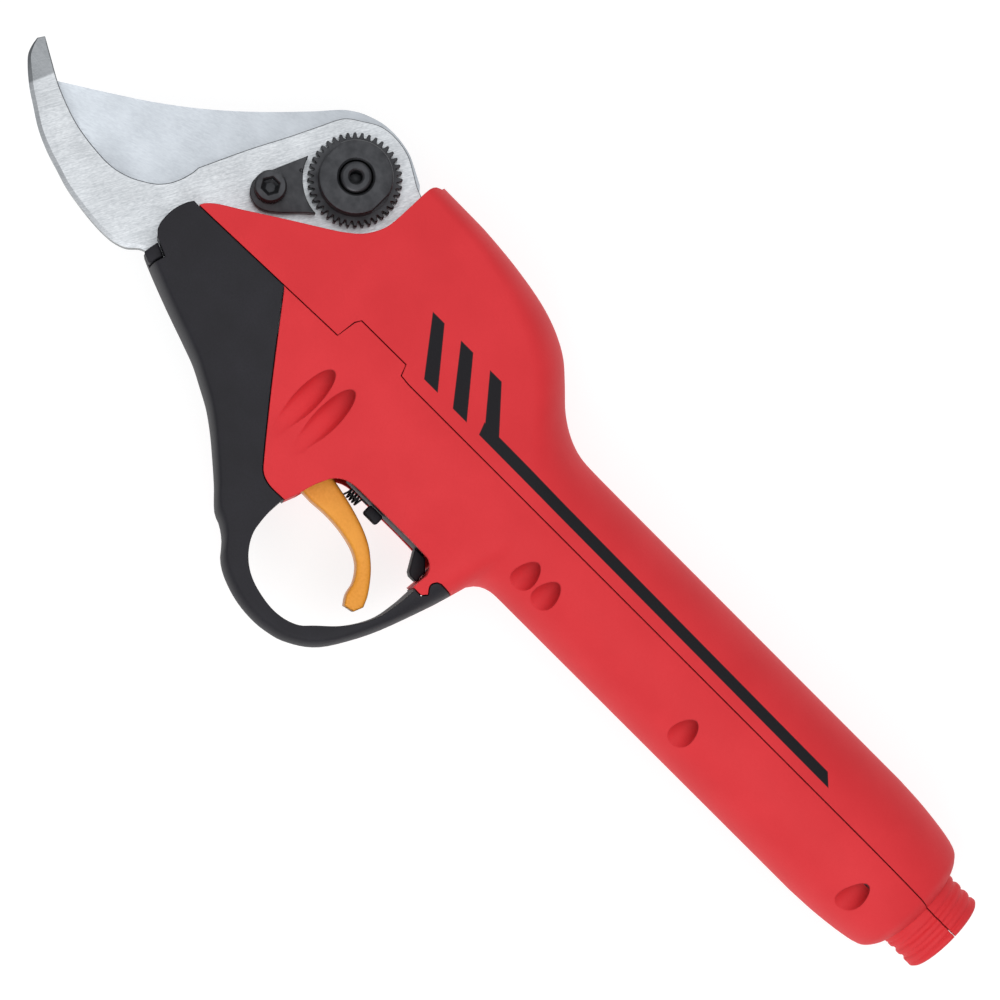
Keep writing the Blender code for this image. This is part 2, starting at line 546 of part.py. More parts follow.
def ballScrewMesh():
    """A rod with a helical ball groove: the radius dips once per lead around the axis."""
    groove, sides, per_lead = 0.8, 10, 5
    front, thread_end = -20.0, -62.0
    steps = round((front - thread_end) / SCREW_LEAD * per_lead)
    rings = [[(-86.0, 0.0, MID_Z)], []]
    for i in range(sides):
        rings[1].append(alongAxis("X", (0, MID_Z), SCREW_RADIUS - 0.2, 2 * math.pi * i / sides, -86.0))
    for step in range(steps + 1):
        x = thread_end + (front - thread_end) * step / steps
        ring = []
        for i in range(sides):
            phase = (x - thread_end) / SCREW_LEAD - i / sides
            dip = groove * max(0.0, math.cos(2 * math.pi * phase)) if 0 < step < steps else 0.0
            ring.append(alongAxis("X", (0, MID_Z), SCREW_RADIUS - dip, 2 * math.pi * i / sides, x))
        rings.append(ring)
    rings.append([(front, 0.0, MID_Z)])
    return meshFromRings("ball_screw", rings)


def buildScrewDrive(steel, screw_hub, carriage):
    axis = (0, MID_Z)
    finishMesh("ball_screw", ballScrewMesh(), steel, origin=(-62.0, 0, MID_Z), parent=screw_hub)
    tube("ball_nut", SCREW_RADIUS + 0.4, 8.2, -60.0, -44.0, "X", axis, steel, segments=28, origin=(-52.0, 0, MID_Z),
         parent=carriage)
    yoke = tube("drive_yoke", 8.5, 10.3, -56.0, -47.0, "X", axis, steel, segments=28, origin=(-52.0, 0, MID_Z),
                parent=carriage)
    pin_x, pin_y = pinPlace()
    arm = [(-56.0, -7.0), (-20.0, -7.0), (-18.0, -10.5), (-4.5, -10.5), (-4.5, 4.5), (-18.0, 4.5), (-20.0, 7.0),
           (-56.0, 7.0)]
    boolean(yoke, prism("yoke_arm", arm, 10.5, 15.4, helper=True), "UNION")
    boolean(yoke, helperRod("yoke_nut_room", 8.5, -65.0, -40.0, "X", axis, 28))
    half = DRIVE_PIN_RADIUS + 0.35
    boolean(yoke, block("pin_slot", (pin_x - half, pin_y - 3.9, 5.0), (pin_x + half, pin_y + 6.2, 20.0), helper=True))


def involute(base, radius):
    """Polar angle of the involute of a base circle, where it reaches a radius."""
    ratio = max(radius / base, 1.0)
    return math.sqrt(ratio * ratio - 1) - math.acos(1 / ratio)


def gearOutline(teeth, phase, internal=False):
    """A gear's tooth outline in Y, Z around the origin, with a tooth (or, inside a ring, a space) centred on phase."""
    pitch = MODULE * teeth / 2
    base = pitch * math.cos(PRESSURE_ANGLE)
    low = pitch - (0.85 if internal else 1.15) * MODULE
    high = pitch + (1.15 if internal else 0.85) * MODULE
    thin = BACKLASH / 2 / pitch * (-1 if internal else 1)
    half_at_pitch = math.pi / 2 / teeth - thin
    outline = []
    for tooth in range(teeth):
        centre = phase + 2 * math.pi * tooth / teeth
        flank = [(r, half_at_pitch + involute(base, pitch) - involute(base, r))
                 for r in (low, high)]
        points = [(r, -a) for r, a in flank] + [(r, a) for r, a in reversed(flank)]
        outline += [(r * math.cos(centre + a), r * math.sin(centre + a)) for r, a in points]
    return outline


def gear(name, teeth, phase, place, bore, material, **where):
    outline = [(y + place[0], z + place[1]) for y, z in gearOutline(teeth, phase)]
    rings = [[(x, y, z) for y, z in outline] for x in GEAR_X]
    wheel = finishMesh(name, meshFromRings(name, rings), material, **where)
    boolean(wheel, helperRod(f"{name}_bore", bore, GEAR_X[0] - 2, GEAR_X[1] + 2, "X", place, 14))
    return wheel


def planetAngle(index):
    """Where a planet sits around the sun. One of its teeth points the same way, into a space of the ring gear."""
    return 2 * math.pi * index / 3


def planetPlace(index):
    angle = planetAngle(index)
    spread = MODULE * (SUN_TEETH + PLANET_TEETH) / 2
    return (spread * math.cos(angle), MID_Z + spread * math.sin(angle))


def buildGearbox(steel, rotor_hub, screw_hub, planet_hubs):
    axis = (0, MID_Z)
    middle = 0.5 * (GEAR_X[0] + GEAR_X[1])
    outline = [(y, z + MID_Z) for y, z in gearOutline(RING_TEETH, 0.0, internal=True)]
    ring = rod("ring_gear", DRIVE_RADIUS, GEAR_X[0] - 1, GEAR_X[1] + 1, "X", axis, steel, segments=40)
    cutter = meshFromRings("ring_teeth", [[(x, y, z) for y, z in outline] for x in (GEAR_X[0] - 3, GEAR_X[1] + 3)])
    boolean(ring, finishMesh("ring_teeth", cutter, None, helper=True))
    gear("sun_gear", SUN_TEETH, 0.0, axis, 1.8, steel, origin=(middle, 0, MID_Z), parent=rotor_hub)
    for index, hub in enumerate(planet_hubs):
        place = planetPlace(index)
        gear(f"planet_gear_{index + 1}", PLANET_TEETH, planetAngle(index), place, 1.8, steel,
             origin=(middle, *place), parent=hub)
    carrier = turned("planet_carrier", [(4.3, -91.2), (9.4, -91.2), (9.4, -87.6), (7.2, -87.6), (7.2, -84.8),
                                        (4.3, -84.8)], "X", axis, steel, segments=28, closed=True,
                     origin=(-88.0, 0, MID_Z), parent=screw_hub)
    for index in range(3):
        pin = helperRod(f"planet_pin_{index}", 1.5, -98.3, -89.0, "X", planetPlace(index), 12)
        boolean(carrier, pin, "UNION")


def buildMotor(steel, alloy, copper, magnet, rotor_hub):
    axis = (0, MID_Z)
    tube("motor_front_cap", 3.4, DRIVE_RADIUS, -104.6, -100.0, "X", axis, alloy, segments=32)
    tube("motor_can", 11.8, DRIVE_RADIUS, -151.7, -104.9, "X", axis, steel, segments=32)
    tube("motor_rear_cap", 3.4, DRIVE_RADIUS, -156.4, -152.0, "X", axis, alloy, segments=32)
    tube("stator", 7.3, 11.5, -148.0, -109.0, "X", axis, copper, segments=32)
    rotor_body = [(0, -158.0), (1.5, -158.0), (1.5, -146.0), (6.8, -146.0), (6.8, -111.0), (1.5, -111.0),
                  (1.5, -91.8), (0, -91.8)]
    turned("rotor", rotor_body, "X", axis, magnet, segments=24, origin=(-128.0, 0, MID_Z), parent=rotor_hub)
    for name, low in (("motor_bearing_front", -104.0), ("motor_bearing_rear", -155.6)):
        tube(name, 1.8, 3.1, low, low + 3.0, "X", axis, steel, segments=16)


# ---------------------------------------------------------------- electronics and socket

def buildElectronics(green, black, metal):
    board_low = 18.8
    block("controller_board", (-211.0, -12.0, board_low), (-162.0, 12.0, board_low + 1.6), green)
    block("heat_sink", (-206.0, -10.0, board_low + 1.9), (-186.0, 10.0, board_low + 7.0), metal)
    rod("capacitor", 5.0, -183.0, -166.0, "X", (0, board_low + 7.0), black, segments=20)


def buildSocket(black, brass):
    axis = (0, MID_Z)
    profile = [(0, -222.0), (9.2, -222.0), (9.2, -241.0), (7.4, -241.0), (7.4, -230.5), (0, -230.5)]
    socket = turned("cable_socket", profile, "X", axis, black, segments=28)
    for index in range(4):
        angle = math.pi / 4 + index * math.pi / 2
        place = (3.6 * math.cos(angle), MID_Z + 3.6 * math.sin(angle))
        boolean(socket, helperRod(f"contact_hole_{index}", 1.2, -236.0, -226.0, "X", place, 10))
        tip = [(0, -235.6), (0.5, -235.6), (0.9, -235.0), (0.9, -226.4), (0, -226.4)]
        turned(f"contact_pin_{index + 1}", tip, "X", place, brass, segments=10)


# ---------------------------------------------------------------- trigger

def buildTrigger(orange, black, steel, hinge):
    boss = arc(TRIGGER_PIVOT, 4.3, 240, 440, 8)
    low, high = MID_Z - TRIGGER_HALF_WIDTH, MID_Z + TRIGGER_HALF_WIDTH
    origin = (*TRIGGER_PIVOT, MID_Z)
    trigger = prism("trigger", TRIGGER_OUTLINE + boss, low, high, orange, origin=origin, parent=hinge)
    bevel(trigger, 1.2, 2, 50)
    slot = [(-50.5, 26.0), (-50.5, 32.4), (-57.0, 33.2), (-63.0, 34.2), (-67.5, 36.2), (-70.0, 34.0), (-70.0, 26.0)]
    slot_z = (MID_Z - TRIGGER_SLOT_HALF_WIDTH, MID_Z + TRIGGER_SLOT_HALF_WIDTH)
    boolean(trigger, prism("trigger_slot", slot, *slot_z, helper=True))
    hole = TRIGGER_PIN_RADIUS + FIT_GAP
    boolean(trigger, helperRod("trigger_bore", hole, 0, 40, "Z", TRIGGER_PIVOT, 14))
    rod("trigger_pin", TRIGGER_PIN_RADIUS, MID_Z - 10.7, MID_Z + 10.7, "Z", TRIGGER_PIVOT, steel, segments=14)
    block("trigger_plate", (-79.5, 24.4, MID_Z - 9.6), (-52.0, 25.8, MID_Z + 9.6), black)
    block("trigger_sensor", (-65.3, 26.1, MID_Z - 2.4), (-60.6, 29.0, MID_Z + 2.4), black)
    stop = [(-76.3, 26.1), (-80.0, 26.1), (-82.4, 28.6), (-82.6, 32.0), (-80.4, 32.0), (-79.4, 31.4)]
    prism("trigger_stop", stop, MID_Z - 5.0, MID_Z + 5.0, black)
    buildTriggerSpring(steel)


def springPath():
    """A torsion spring's wire: one leg up into the trigger's slot, a coil along X, and one leg along the plate."""
    x, y = SPRING_COIL
    coil_length = SPRING_TURNS * SPRING_PITCH
    points = [(x + 0.5 * coil_length + 1.4, y + 4.15, MID_Z + SPRING_RADIUS)]
    steps = round((SPRING_TURNS + 0.25) * SPRING_STEPS)
    for i in range(steps + 1):
        angle = 0.5 * math.pi + 2 * math.pi * i / SPRING_STEPS
        along = x + coil_length * (0.5 - i / steps)
        points.append((along, y + SPRING_RADIUS * math.cos(angle), MID_Z + SPRING_RADIUS * math.sin(angle)))
    points.append((points[-1][0] - 0.6, points[-1][1], MID_Z))
    points.append((points[-1][0] - 1.2, points[-1][1], MID_Z))
    return points


def buildTriggerSpring(steel):
    curve = bpy.data.curves.new("trigger_spring", "CURVE")
    curve.dimensions = "3D"
    curve.bevel_depth = SPRING_WIRE_RADIUS * MM
    curve.bevel_resolution = 0
    curve.use_fill_caps = True
    line = curve.splines.new("POLY")
    points = springPath()
    line.points.add(len(points) - 1)
    for point, place in zip(line.points, points):
        point.co = (*[value * MM for value in place], 1.0)
    curve.materials.append(steel)
    spring = bpy.data.objects.new("trigger_spring", curve)
    bpy.context.scene.collection.objects.link(spring)


# ---------------------------------------------------------------- assembly

def hub(name, place):
    empty = bpy.data.objects.new(name, None)
    empty.location = Vector(place) * MM
    bpy.context.scene.collection.objects.link(empty)
    return empty


def main():
    clearScene()
    red = makeMaterial("red_soft_grip", (0.60, 0.035, 0.045), 0.55, 0.0)
    black = makeMaterial("black_nylon", (0.028, 0.028, 0.033), 0.55, 0.0)
    orange = makeMaterial("orange_nylon", (0.83, 0.36, 0.07), 0.45, 0.0)
    steel = makeMaterial("ground_steel", (0.60, 0.62, 0.65), 0.32, 1.0)
    black_steel = makeMaterial("black_oxide_steel", (0.035, 0.037, 0.042), 0.45, 0.8)
    alloy = makeMaterial("cast_alloy", (0.50, 0.51, 0.53), 0.5, 1.0)
    bronze = makeMaterial("bronze", (0.50, 0.30, 0.12), 0.4, 1.0)
    copper = makeMaterial("copper_winding", (0.55, 0.22, 0.08), 0.45, 1.0)
    magnet = makeMaterial("rotor_steel", (0.22, 0.23, 0.25), 0.4, 1.0)
    green = makeMaterial("circuit_board", (0.02, 0.16, 0.07), 0.5, 0.0)
    brass = makeMaterial("brass", (0.70, 0.50, 0.20), 0.3, 1.0)

    blade_hinge = hub("blade_hinge", (*PIVOT, 0))
    trigger_hinge = hub("trigger_hinge", (*TRIGGER_PIVOT, MID_Z))
    rotor_hub = hub("rotor_hub", (-95.0, 0, MID_Z))
    screw_hub = hub("screw_hub", (-62.0, 0, MID_Z))
    carriage = hub("carriage", (-52.0, 0, MID_Z))
    planet_hubs = [hub(f"planet_hub_{i + 1}", (-95.0, *planetPlace(i))) for i in range(3)]

    buildCasing(red, black)
    buildCaseScrews(black_steel)
    buildFixedBlade(steel)
    buildMovingBlade(steel, bronze, blade_hinge)
    buildPivot(steel, black_steel)
    buildNut(black_steel)
    buildLock(black_steel)
    buildHeadFrame(alloy, steel, black_steel)
    buildScrewDrive(steel, screw_hub, carriage)
    buildGearbox(steel, rotor_hub, screw_hub, planet_hubs)
    buildMotor(steel, alloy, copper, magnet, rotor_hub)
    buildElectronics(green, black, alloy)
    buildSocket(black, brass)
    buildTrigger(orange, black, black_steel, trigger_hinge)


main()
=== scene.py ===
import math

import bmesh
import bpy
import numpy as np
from mathutils import Matrix, Vector


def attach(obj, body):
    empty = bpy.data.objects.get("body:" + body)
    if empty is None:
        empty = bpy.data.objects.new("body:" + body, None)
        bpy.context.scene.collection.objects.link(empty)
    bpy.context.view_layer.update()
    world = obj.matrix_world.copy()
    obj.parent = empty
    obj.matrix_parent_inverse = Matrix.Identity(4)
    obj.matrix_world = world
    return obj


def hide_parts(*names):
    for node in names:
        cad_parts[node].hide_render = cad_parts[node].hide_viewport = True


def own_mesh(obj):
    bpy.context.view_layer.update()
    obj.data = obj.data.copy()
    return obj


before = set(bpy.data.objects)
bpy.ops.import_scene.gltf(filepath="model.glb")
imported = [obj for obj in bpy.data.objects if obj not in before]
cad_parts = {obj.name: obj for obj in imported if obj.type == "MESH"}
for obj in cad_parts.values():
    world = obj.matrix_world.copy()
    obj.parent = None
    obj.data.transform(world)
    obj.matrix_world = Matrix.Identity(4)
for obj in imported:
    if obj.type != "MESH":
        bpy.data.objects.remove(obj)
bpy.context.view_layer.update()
print("frame loaded:", len(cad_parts), "nodes")

# Battery electric pruner. Lengths below are in millimetres; meshes become metres as they are finished.
mm = 0.001
midZ = 20.0  # height of the handle's axis
gap = 0.3  # seam between mouldings
weld = 0.0005  # points nearer than this are one
pivot = (0.0, -28.7)  # the blades' pivot

# ---- camera, lights and floor

camera = {"place": (-49.4, 78.0, 820.0), "target": (-83.2, 1.8, 20.0), "right": (-0.7071, -0.7071, 0.0),
    "viewWidth": 255.0, "sensor": 36.0}
studio = {"sky": "#F6F8FA", "skyStrength": 0.4, "floor": "#969696", "floorGlow": 0.8, "floorSide": 6.0,
    "floorZ": -0.4, "floorRoughness": 0.9, "aim": (-83.0, 0.0, 20.0),
    "lights": [("keySoftbox", (-450, 900, 1000), 800, 7.6), ("fillSoftbox", (600, -900, 900), 900, 3.2),
        ("topSoftbox", (-60, -60, 1500), 1500, 8.0)]}


def linear(hexColour):
    channels = [int(hexColour[i:i + 2], 16) / 255 for i in (1, 3, 5)]
    return tuple(c / 12.92 if c <= 0.04045 else ((c + 0.055) / 1.055) ** 2.4 for c in channels) + (1.0,)


def linked(name, data):
    made = bpy.data.objects.new(name, data)
    bpy.context.scene.collection.objects.link(made)
    return made


def makeCamera():
    lens = bpy.data.cameras.new("viewCamera")
    seat = linked("viewCamera", lens)
    place, target = Vector(camera["place"]) * mm, Vector(camera["target"]) * mm
    back = (place - target).normalized()
    right = Vector(camera["right"])
    right = (right - right.dot(back) * back).normalized()
    up = back.cross(right)
    seat.matrix_world = Matrix.Translation(place) @ Matrix((right, up, back)).transposed().to_4x4()
    lens.sensor_width = camera["sensor"]
    lens.lens = camera["sensor"] * (place - target).length / (camera["viewWidth"] * mm)
    lens.clip_start = 0.01
    bpy.context.scene.camera = seat


def makeStudio():
    world = bpy.data.worlds.new("studioSky")
    world.use_nodes = True
    sky = world.node_tree.nodes["Background"]
    sky.inputs["Color"].default_value = linear(studio["sky"])
    sky.inputs["Strength"].default_value = studio["skyStrength"]
    bpy.context.scene.world = world
    bpy.context.scene.view_settings.view_transform = "Standard"
    for name, place, side, power in studio["lights"]:
        lamp = bpy.data.lights.new(name, "AREA")
        lamp.shape, lamp.size, lamp.energy = "SQUARE", side * mm, power
        holder = linked(name, lamp)
        holder.location = Vector(place) * mm
        aim = Vector(studio["aim"]) * mm - holder.location
        holder.rotation_euler = aim.to_track_quat("-Z", "Y").to_euler()
    half, low = studio["floorSide"] / 2, studio["floorZ"] * mm
    floorMesh = bpy.data.meshes.new("floor")
    floorMesh.from_pydata([(-half, -half, low), (half, -half, low), (half, half, low), (-half, half, low)],
        [], [(0, 1, 2, 3)])
    floor = linked("floor", floorMesh)
    opal = bpy.data.materials.new("opalLightTable")  # white opal acrylic, lit a little from below
    opal.use_nodes = True
    surface = opal.node_tree.nodes["Principled BSDF"].inputs
    surface["Base Color"].default_value = linear(studio["floor"])
    surface["Roughness"].default_value = studio["floorRoughness"]
    surface["Specular IOR Level"].default_value = 0.0
    surface["Emission Color"].default_value = (1.0, 1.0, 1.0, 1.0)
    surface["Emission Strength"].default_value = studio["floorGlow"]
    floorMesh.materials.append(opal)


makeCamera()
makeStudio()
print("camera and studio set")

# ---- materials


def addNode(tree, kind, inputs=None, **settings):
    node = tree.nodes.new(kind)
    for name, value in settings.items():
        setattr(node, name, value)
    for key, value in (inputs or {}).items():
        if isinstance(value, bpy.types.NodeSocket):
            tree.links.new(value, node.inputs[key])
        else:
            node.inputs[key].default_value = value
    return node


def startMaterial(name, **sockets):
    material = bpy.data.materials.new(name)
    material.use_nodes = True
    tree = material.node_tree
    shader = tree.nodes["Principled BSDF"]
    for socket, value in sockets.items():
        shader.inputs[socket].default_value = value
    place = addNode(tree, "ShaderNodeTexCoord").outputs["Object"]
    return material, tree, shader, place


def grainNoise(tree, place, size, detail=3.0, stretch=(1, 1, 1), turn=0.0):
    # size is one grain in millimetres; stretch makes it longer along an axis
    scale = [1.0 / (size * mm * s) for s in stretch]
    mapped = addNode(tree, "ShaderNodeMapping", {"Vector": place, "Scale": (1, 1, 1),
        "Rotation": (0, 0, turn)})
    sized = addNode(tree, "ShaderNodeVectorMath", {0: mapped.outputs["Vector"], 1: scale},
        operation="MULTIPLY")
    return addNode(tree, "ShaderNodeTexNoise", {"Vector": sized.outputs["Vector"], "Scale": 1.0,
        "Detail": detail, "Roughness": 0.55}).outputs["Fac"]


def ramp(tree, fac, low, high, fromLow=0.0, fromHigh=1.0):
    return addNode(tree, "ShaderNodeMapRange", {"Value": fac, "From Min": fromLow, "From Max": fromHigh,
        "To Min": low, "To Max": high}).outputs["Result"]


def mixColour(tree, fac, first, second):
    mix = addNode(tree, "ShaderNodeMix", data_type="RGBA")
    for key, value in ((0, fac), (6, first), (7, second)):
        if isinstance(value, bpy.types.NodeSocket):
            tree.links.new(value, mix.inputs[key])
        else:
            mix.inputs[key].default_value = value
    return mix.outputs[2]


def bumpNormal(tree, shader, height, depth, edge=0.0):
    # depth is the grain's height in millimetres; edge is the radius that a moulded or ground edge is eased to
    settings = {"Height": height, "Distance": depth * mm, "Strength": 1.0}
    if edge:
        softer = addNode(tree, "ShaderNodeBevel", {"Radius": edge * mm}, samples=6)
        settings["Normal"] = softer.outputs["Normal"]
    tree.links.new(addNode(tree, "ShaderNodeBump", settings).outputs["Normal"], shader.inputs["Normal"])


def turning(outline):
    # 1 for an outline that runs anticlockwise, -1 for one that runs clockwise
    return 1 if sum(a[0] * b[1] - b[0] * a[1] for a, b in zip(outline,
        outline[1:] + outline[:1])) > 0 else -1


def halfPlanes(outline):
    # (normal x, normal y, offset) of each side of a convex outline, positive inside
    sides = []
    for a, b in zip(outline, outline[1:] + outline[:1]):
        along = (Vector(b) - Vector(a)).normalized() * turning(outline)
        normal = (-along.y, along.x)
        sides.append((*normal, -(normal[0] * a[0] + normal[1] * a[1])))
    return sides


def insideMask(tree, place, outlines, soft):
    # 1 inside any of the outlines in X and Y, 0 outside, over a soft edge in millimetres
    def merged(first, second, operation):
        if first is None:
            return second
        return addNode(tree, "ShaderNodeMath", {0: first, 1: second}, operation=operation).outputs[0]

    shown = None
    for outline in outlines:
        depth = None
        for nx, ny, offset in halfPlanes(outline):
            across = addNode(tree, "ShaderNodeVectorMath", {0: place, 1: (nx / mm, ny / mm, 0)},
                operation="DOT_PRODUCT")
            inward = addNode(tree, "ShaderNodeMath", {0: across.outputs["Value"], 1: offset},
                operation="ADD").outputs[0]
            depth = merged(depth, inward, "MINIMUM")
        shown = merged(shown, depth, "MAXIMUM")
    return ramp(tree, shown, 0.0, 1.0, -soft, soft)


# Soft-touch paint over ABS: dull and slightly velvety, with a fine spray grain; graphics are printed on it
softTouch = {"red": "#DB343A", "deepRed": "#D53036", "ink": "#161419", "roughness": 0.6, "ior": 1.48,
    "gloss": 0.22,
    "grain": 0.5, "grainRange": (0.45, 0.8), "grainMix": 0.35, "mottle": 18.0, "mottleRange": (0.35, 0.65),
    "depth": 0.035, "edge": 0.35, "soft": 0.08, "printedFrom": 21.0, "printedTo": 21.1,
    "stripes": [[(-37.5, -17.7), (-41.6, -17.7), (-52.6, -4.2), (-47.8, -4.2)],
        [(-47.5, -17.6), (-51.8, -17.6), (-62.9, -4.1), (-58.0, -4.1)],
        [(-57.8, -17.5), (-61.9, -17.5), (-72.6, -5.7), (-72.6, -4.1), (-68.9, -4.1)],
        [(-66.0, -7.3), (-67.2, -4.1), (-191.7, -3.5), (-188.8, -6.4)]]}


def softTouchRed():
    material, tree, shader, place = startMaterial("softTouchPaintOnAbs", Roughness=softTouch["roughness"],
        IOR=softTouch["ior"])
    shader.inputs["Specular IOR Level"].default_value = softTouch["gloss"]
    grain = grainNoise(tree, place, softTouch["grain"], 2.0)
    mottle = grainNoise(tree, place, softTouch["mottle"], 2.0)
    deep = linear(softTouch["deepRed"])
    red = mixColour(tree, ramp(tree, mottle, 0.0, 1.0, *softTouch["mottleRange"]), linear(softTouch["red"]),
        deep)
    speckled = mixColour(tree, ramp(tree, grain, 0.0, softTouch["grainMix"], *softTouch["grainRange"]), red,
        deep)
    stripe = insideMask(tree, place, softTouch["stripes"], softTouch["soft"])
    height = addNode(tree, "ShaderNodeSeparateXYZ", {"Vector": place}).outputs["Z"]
    nearSide = ramp(tree, height, 0.0, 1.0, softTouch["printedFrom"] * mm, softTouch["printedTo"] * mm)
    ink = addNode(tree, "ShaderNodeMath", {0: stripe, 1: nearSide}, operation="MULTIPLY",
        use_clamp=True).outputs[0]
    tree.links.new(mixColour(tree, ink, speckled, linear(softTouch["ink"])), shader.inputs["Base Color"])
    tree.links.new(ramp(tree, grain, softTouch["roughness"] - 0.05, softTouch["roughness"] + 0.08),
        shader.inputs["Roughness"])
    bumpNormal(tree, shader, grain, softTouch["depth"], softTouch["edge"])
    return material


def mouldedPlastic(name, colour, shade, roughness, grainSize, depth, edge, ior=1.5, gloss=0.25):
    material, tree, shader, place = startMaterial(name, IOR=ior)
    shader.inputs["Specular IOR Level"].default_value = gloss
    grain = grainNoise(tree, place, grainSize, 3.0)
    mottle = grainNoise(tree, place, grainSize * 18, 2.0)
    both = addNode(tree, "ShaderNodeMath", {0: grain, 1: mottle}, operation="MULTIPLY").outputs[0]
    tree.links.new(mixColour(tree, ramp(tree, both, 0.0, 1.0, 0.12, 0.42), linear(colour), linear(shade)),
        shader.inputs["Base Color"])
    tree.links.new(ramp(tree, grain, roughness - 0.06, roughness + 0.08), shader.inputs["Roughness"])
    bumpNormal(tree, shader, grain, depth, edge)
    return material


# Ground steel: scratches far longer than wide, specks among them, and broad patches that differ in gloss
# painted shade darkens the sides, and on the cutting blade the end near the pivot
steelGrain = {"length": 28, "speckSize": 2.2, "patch": 9.0, "crossMix": 0.7, "crossSoft": 0.25,
    "pivotShadeMix": 0.75, "sideShadeColour": "#5C5F62", "sideShadeFrom": 0.75, "sideShadeTo": 0.995}


def groundSteel(name, colour, shade, roughness, line, turn, depth=0.012, edge=0.0, cross=None, wall=0.0,
        pivotShade=None):
    # line is the width of one scratch and turn the angle of them all; cross is an area ground another way;
    # wall is how much painted shade darkens the sides; the last gives painted shade darkening towards the
    # pivot
    material, tree, shader, place = startMaterial(name, Metallic=1.0)
    drawn = (steelGrain["length"], 1, steelGrain["length"])
    scratch = grainNoise(tree, place, line, 4.0, drawn, turn)
    speck = grainNoise(tree, place, line * steelGrain["speckSize"], 3.0, (3, 1, 3), turn)
    patch = grainNoise(tree, place, steelGrain["patch"], 2.0)
    if cross:
        other = grainNoise(tree, place, line, 4.0, drawn, cross["turn"])
        inside = insideMask(tree, place, cross["outlines"], steelGrain["crossSoft"])
        scratch = addNode(tree, "ShaderNodeMix", {0: inside, 2: scratch, 3: other},
            data_type="FLOAT").outputs[0]
    mixed = addNode(tree, "ShaderNodeMath", {0: scratch, 1: speck}, operation="ADD").outputs[0]
    tone = mixColour(tree, ramp(tree, mixed, 0.0, 1.0, 0.75, 1.25), linear(shade), linear(colour))
    if cross:
        dullingAndShade = addNode(tree, "ShaderNodeMath", {0: inside, 1: steelGrain["crossMix"]},
            operation="MULTIPLY").outputs[0]
        tone = mixColour(tree, dullingAndShade, tone, linear(cross["shade"]))
    # painted shade: the blade drawn darker towards the pivot
    if pivotShade:
        along = addNode(tree, "ShaderNodeSeparateXYZ", {"Vector": place}).outputs["X"]
        dullingAndShade = ramp(tree, along, steelGrain["pivotShadeMix"], 0.0, pivotShade["from"] * mm, pivotShade["to"] * mm)
        tone = mixColour(tree, dullingAndShade, tone, linear(pivotShade["shade"]))
    # painted shade: faces turned away from Z, the sides, drawn darker
    facing = addNode(tree, "ShaderNodeSeparateXYZ", {"Vector": addNode(tree,
        "ShaderNodeTexCoord").outputs["Normal"]})
    flat = addNode(tree, "ShaderNodeMath", {0: facing.outputs["Z"]}, operation="ABSOLUTE").outputs[0]
    side = ramp(tree, flat, wall, 0.0, steelGrain["sideShadeFrom"], steelGrain["sideShadeTo"])
    tone = mixColour(tree, side, tone, linear(steelGrain["sideShadeColour"]))
    tree.links.new(tone, shader.inputs["Base Color"])
    rough = addNode(tree, "ShaderNodeMath", {0: mixed, 1: patch}, operation="MULTIPLY").outputs[0]
    tree.links.new(ramp(tree, rough, roughness + 0.1, roughness - 0.06, 0.3, 0.75),
        shader.inputs["Roughness"])
    bumpNormal(tree, shader, mixed, depth, edge)
    return material


def castMetal(name, colour, shade, roughness, metallic, grainSize, depth, edge=0.0):
    material, tree, shader, place = startMaterial(name, Metallic=metallic)
    grain = grainNoise(tree, place, grainSize, 4.0)
    patch = grainNoise(tree, place, grainSize * 9, 3.0)
    tree.links.new(mixColour(tree, ramp(tree, patch, 0.0, 1.0, 0.35, 0.65), linear(colour), linear(shade)),
        shader.inputs["Base Color"])
    tree.links.new(ramp(tree, grain, roughness - 0.08, roughness + 0.1), shader.inputs["Roughness"])
    bumpNormal(tree, shader, grain, depth, edge)
    return material


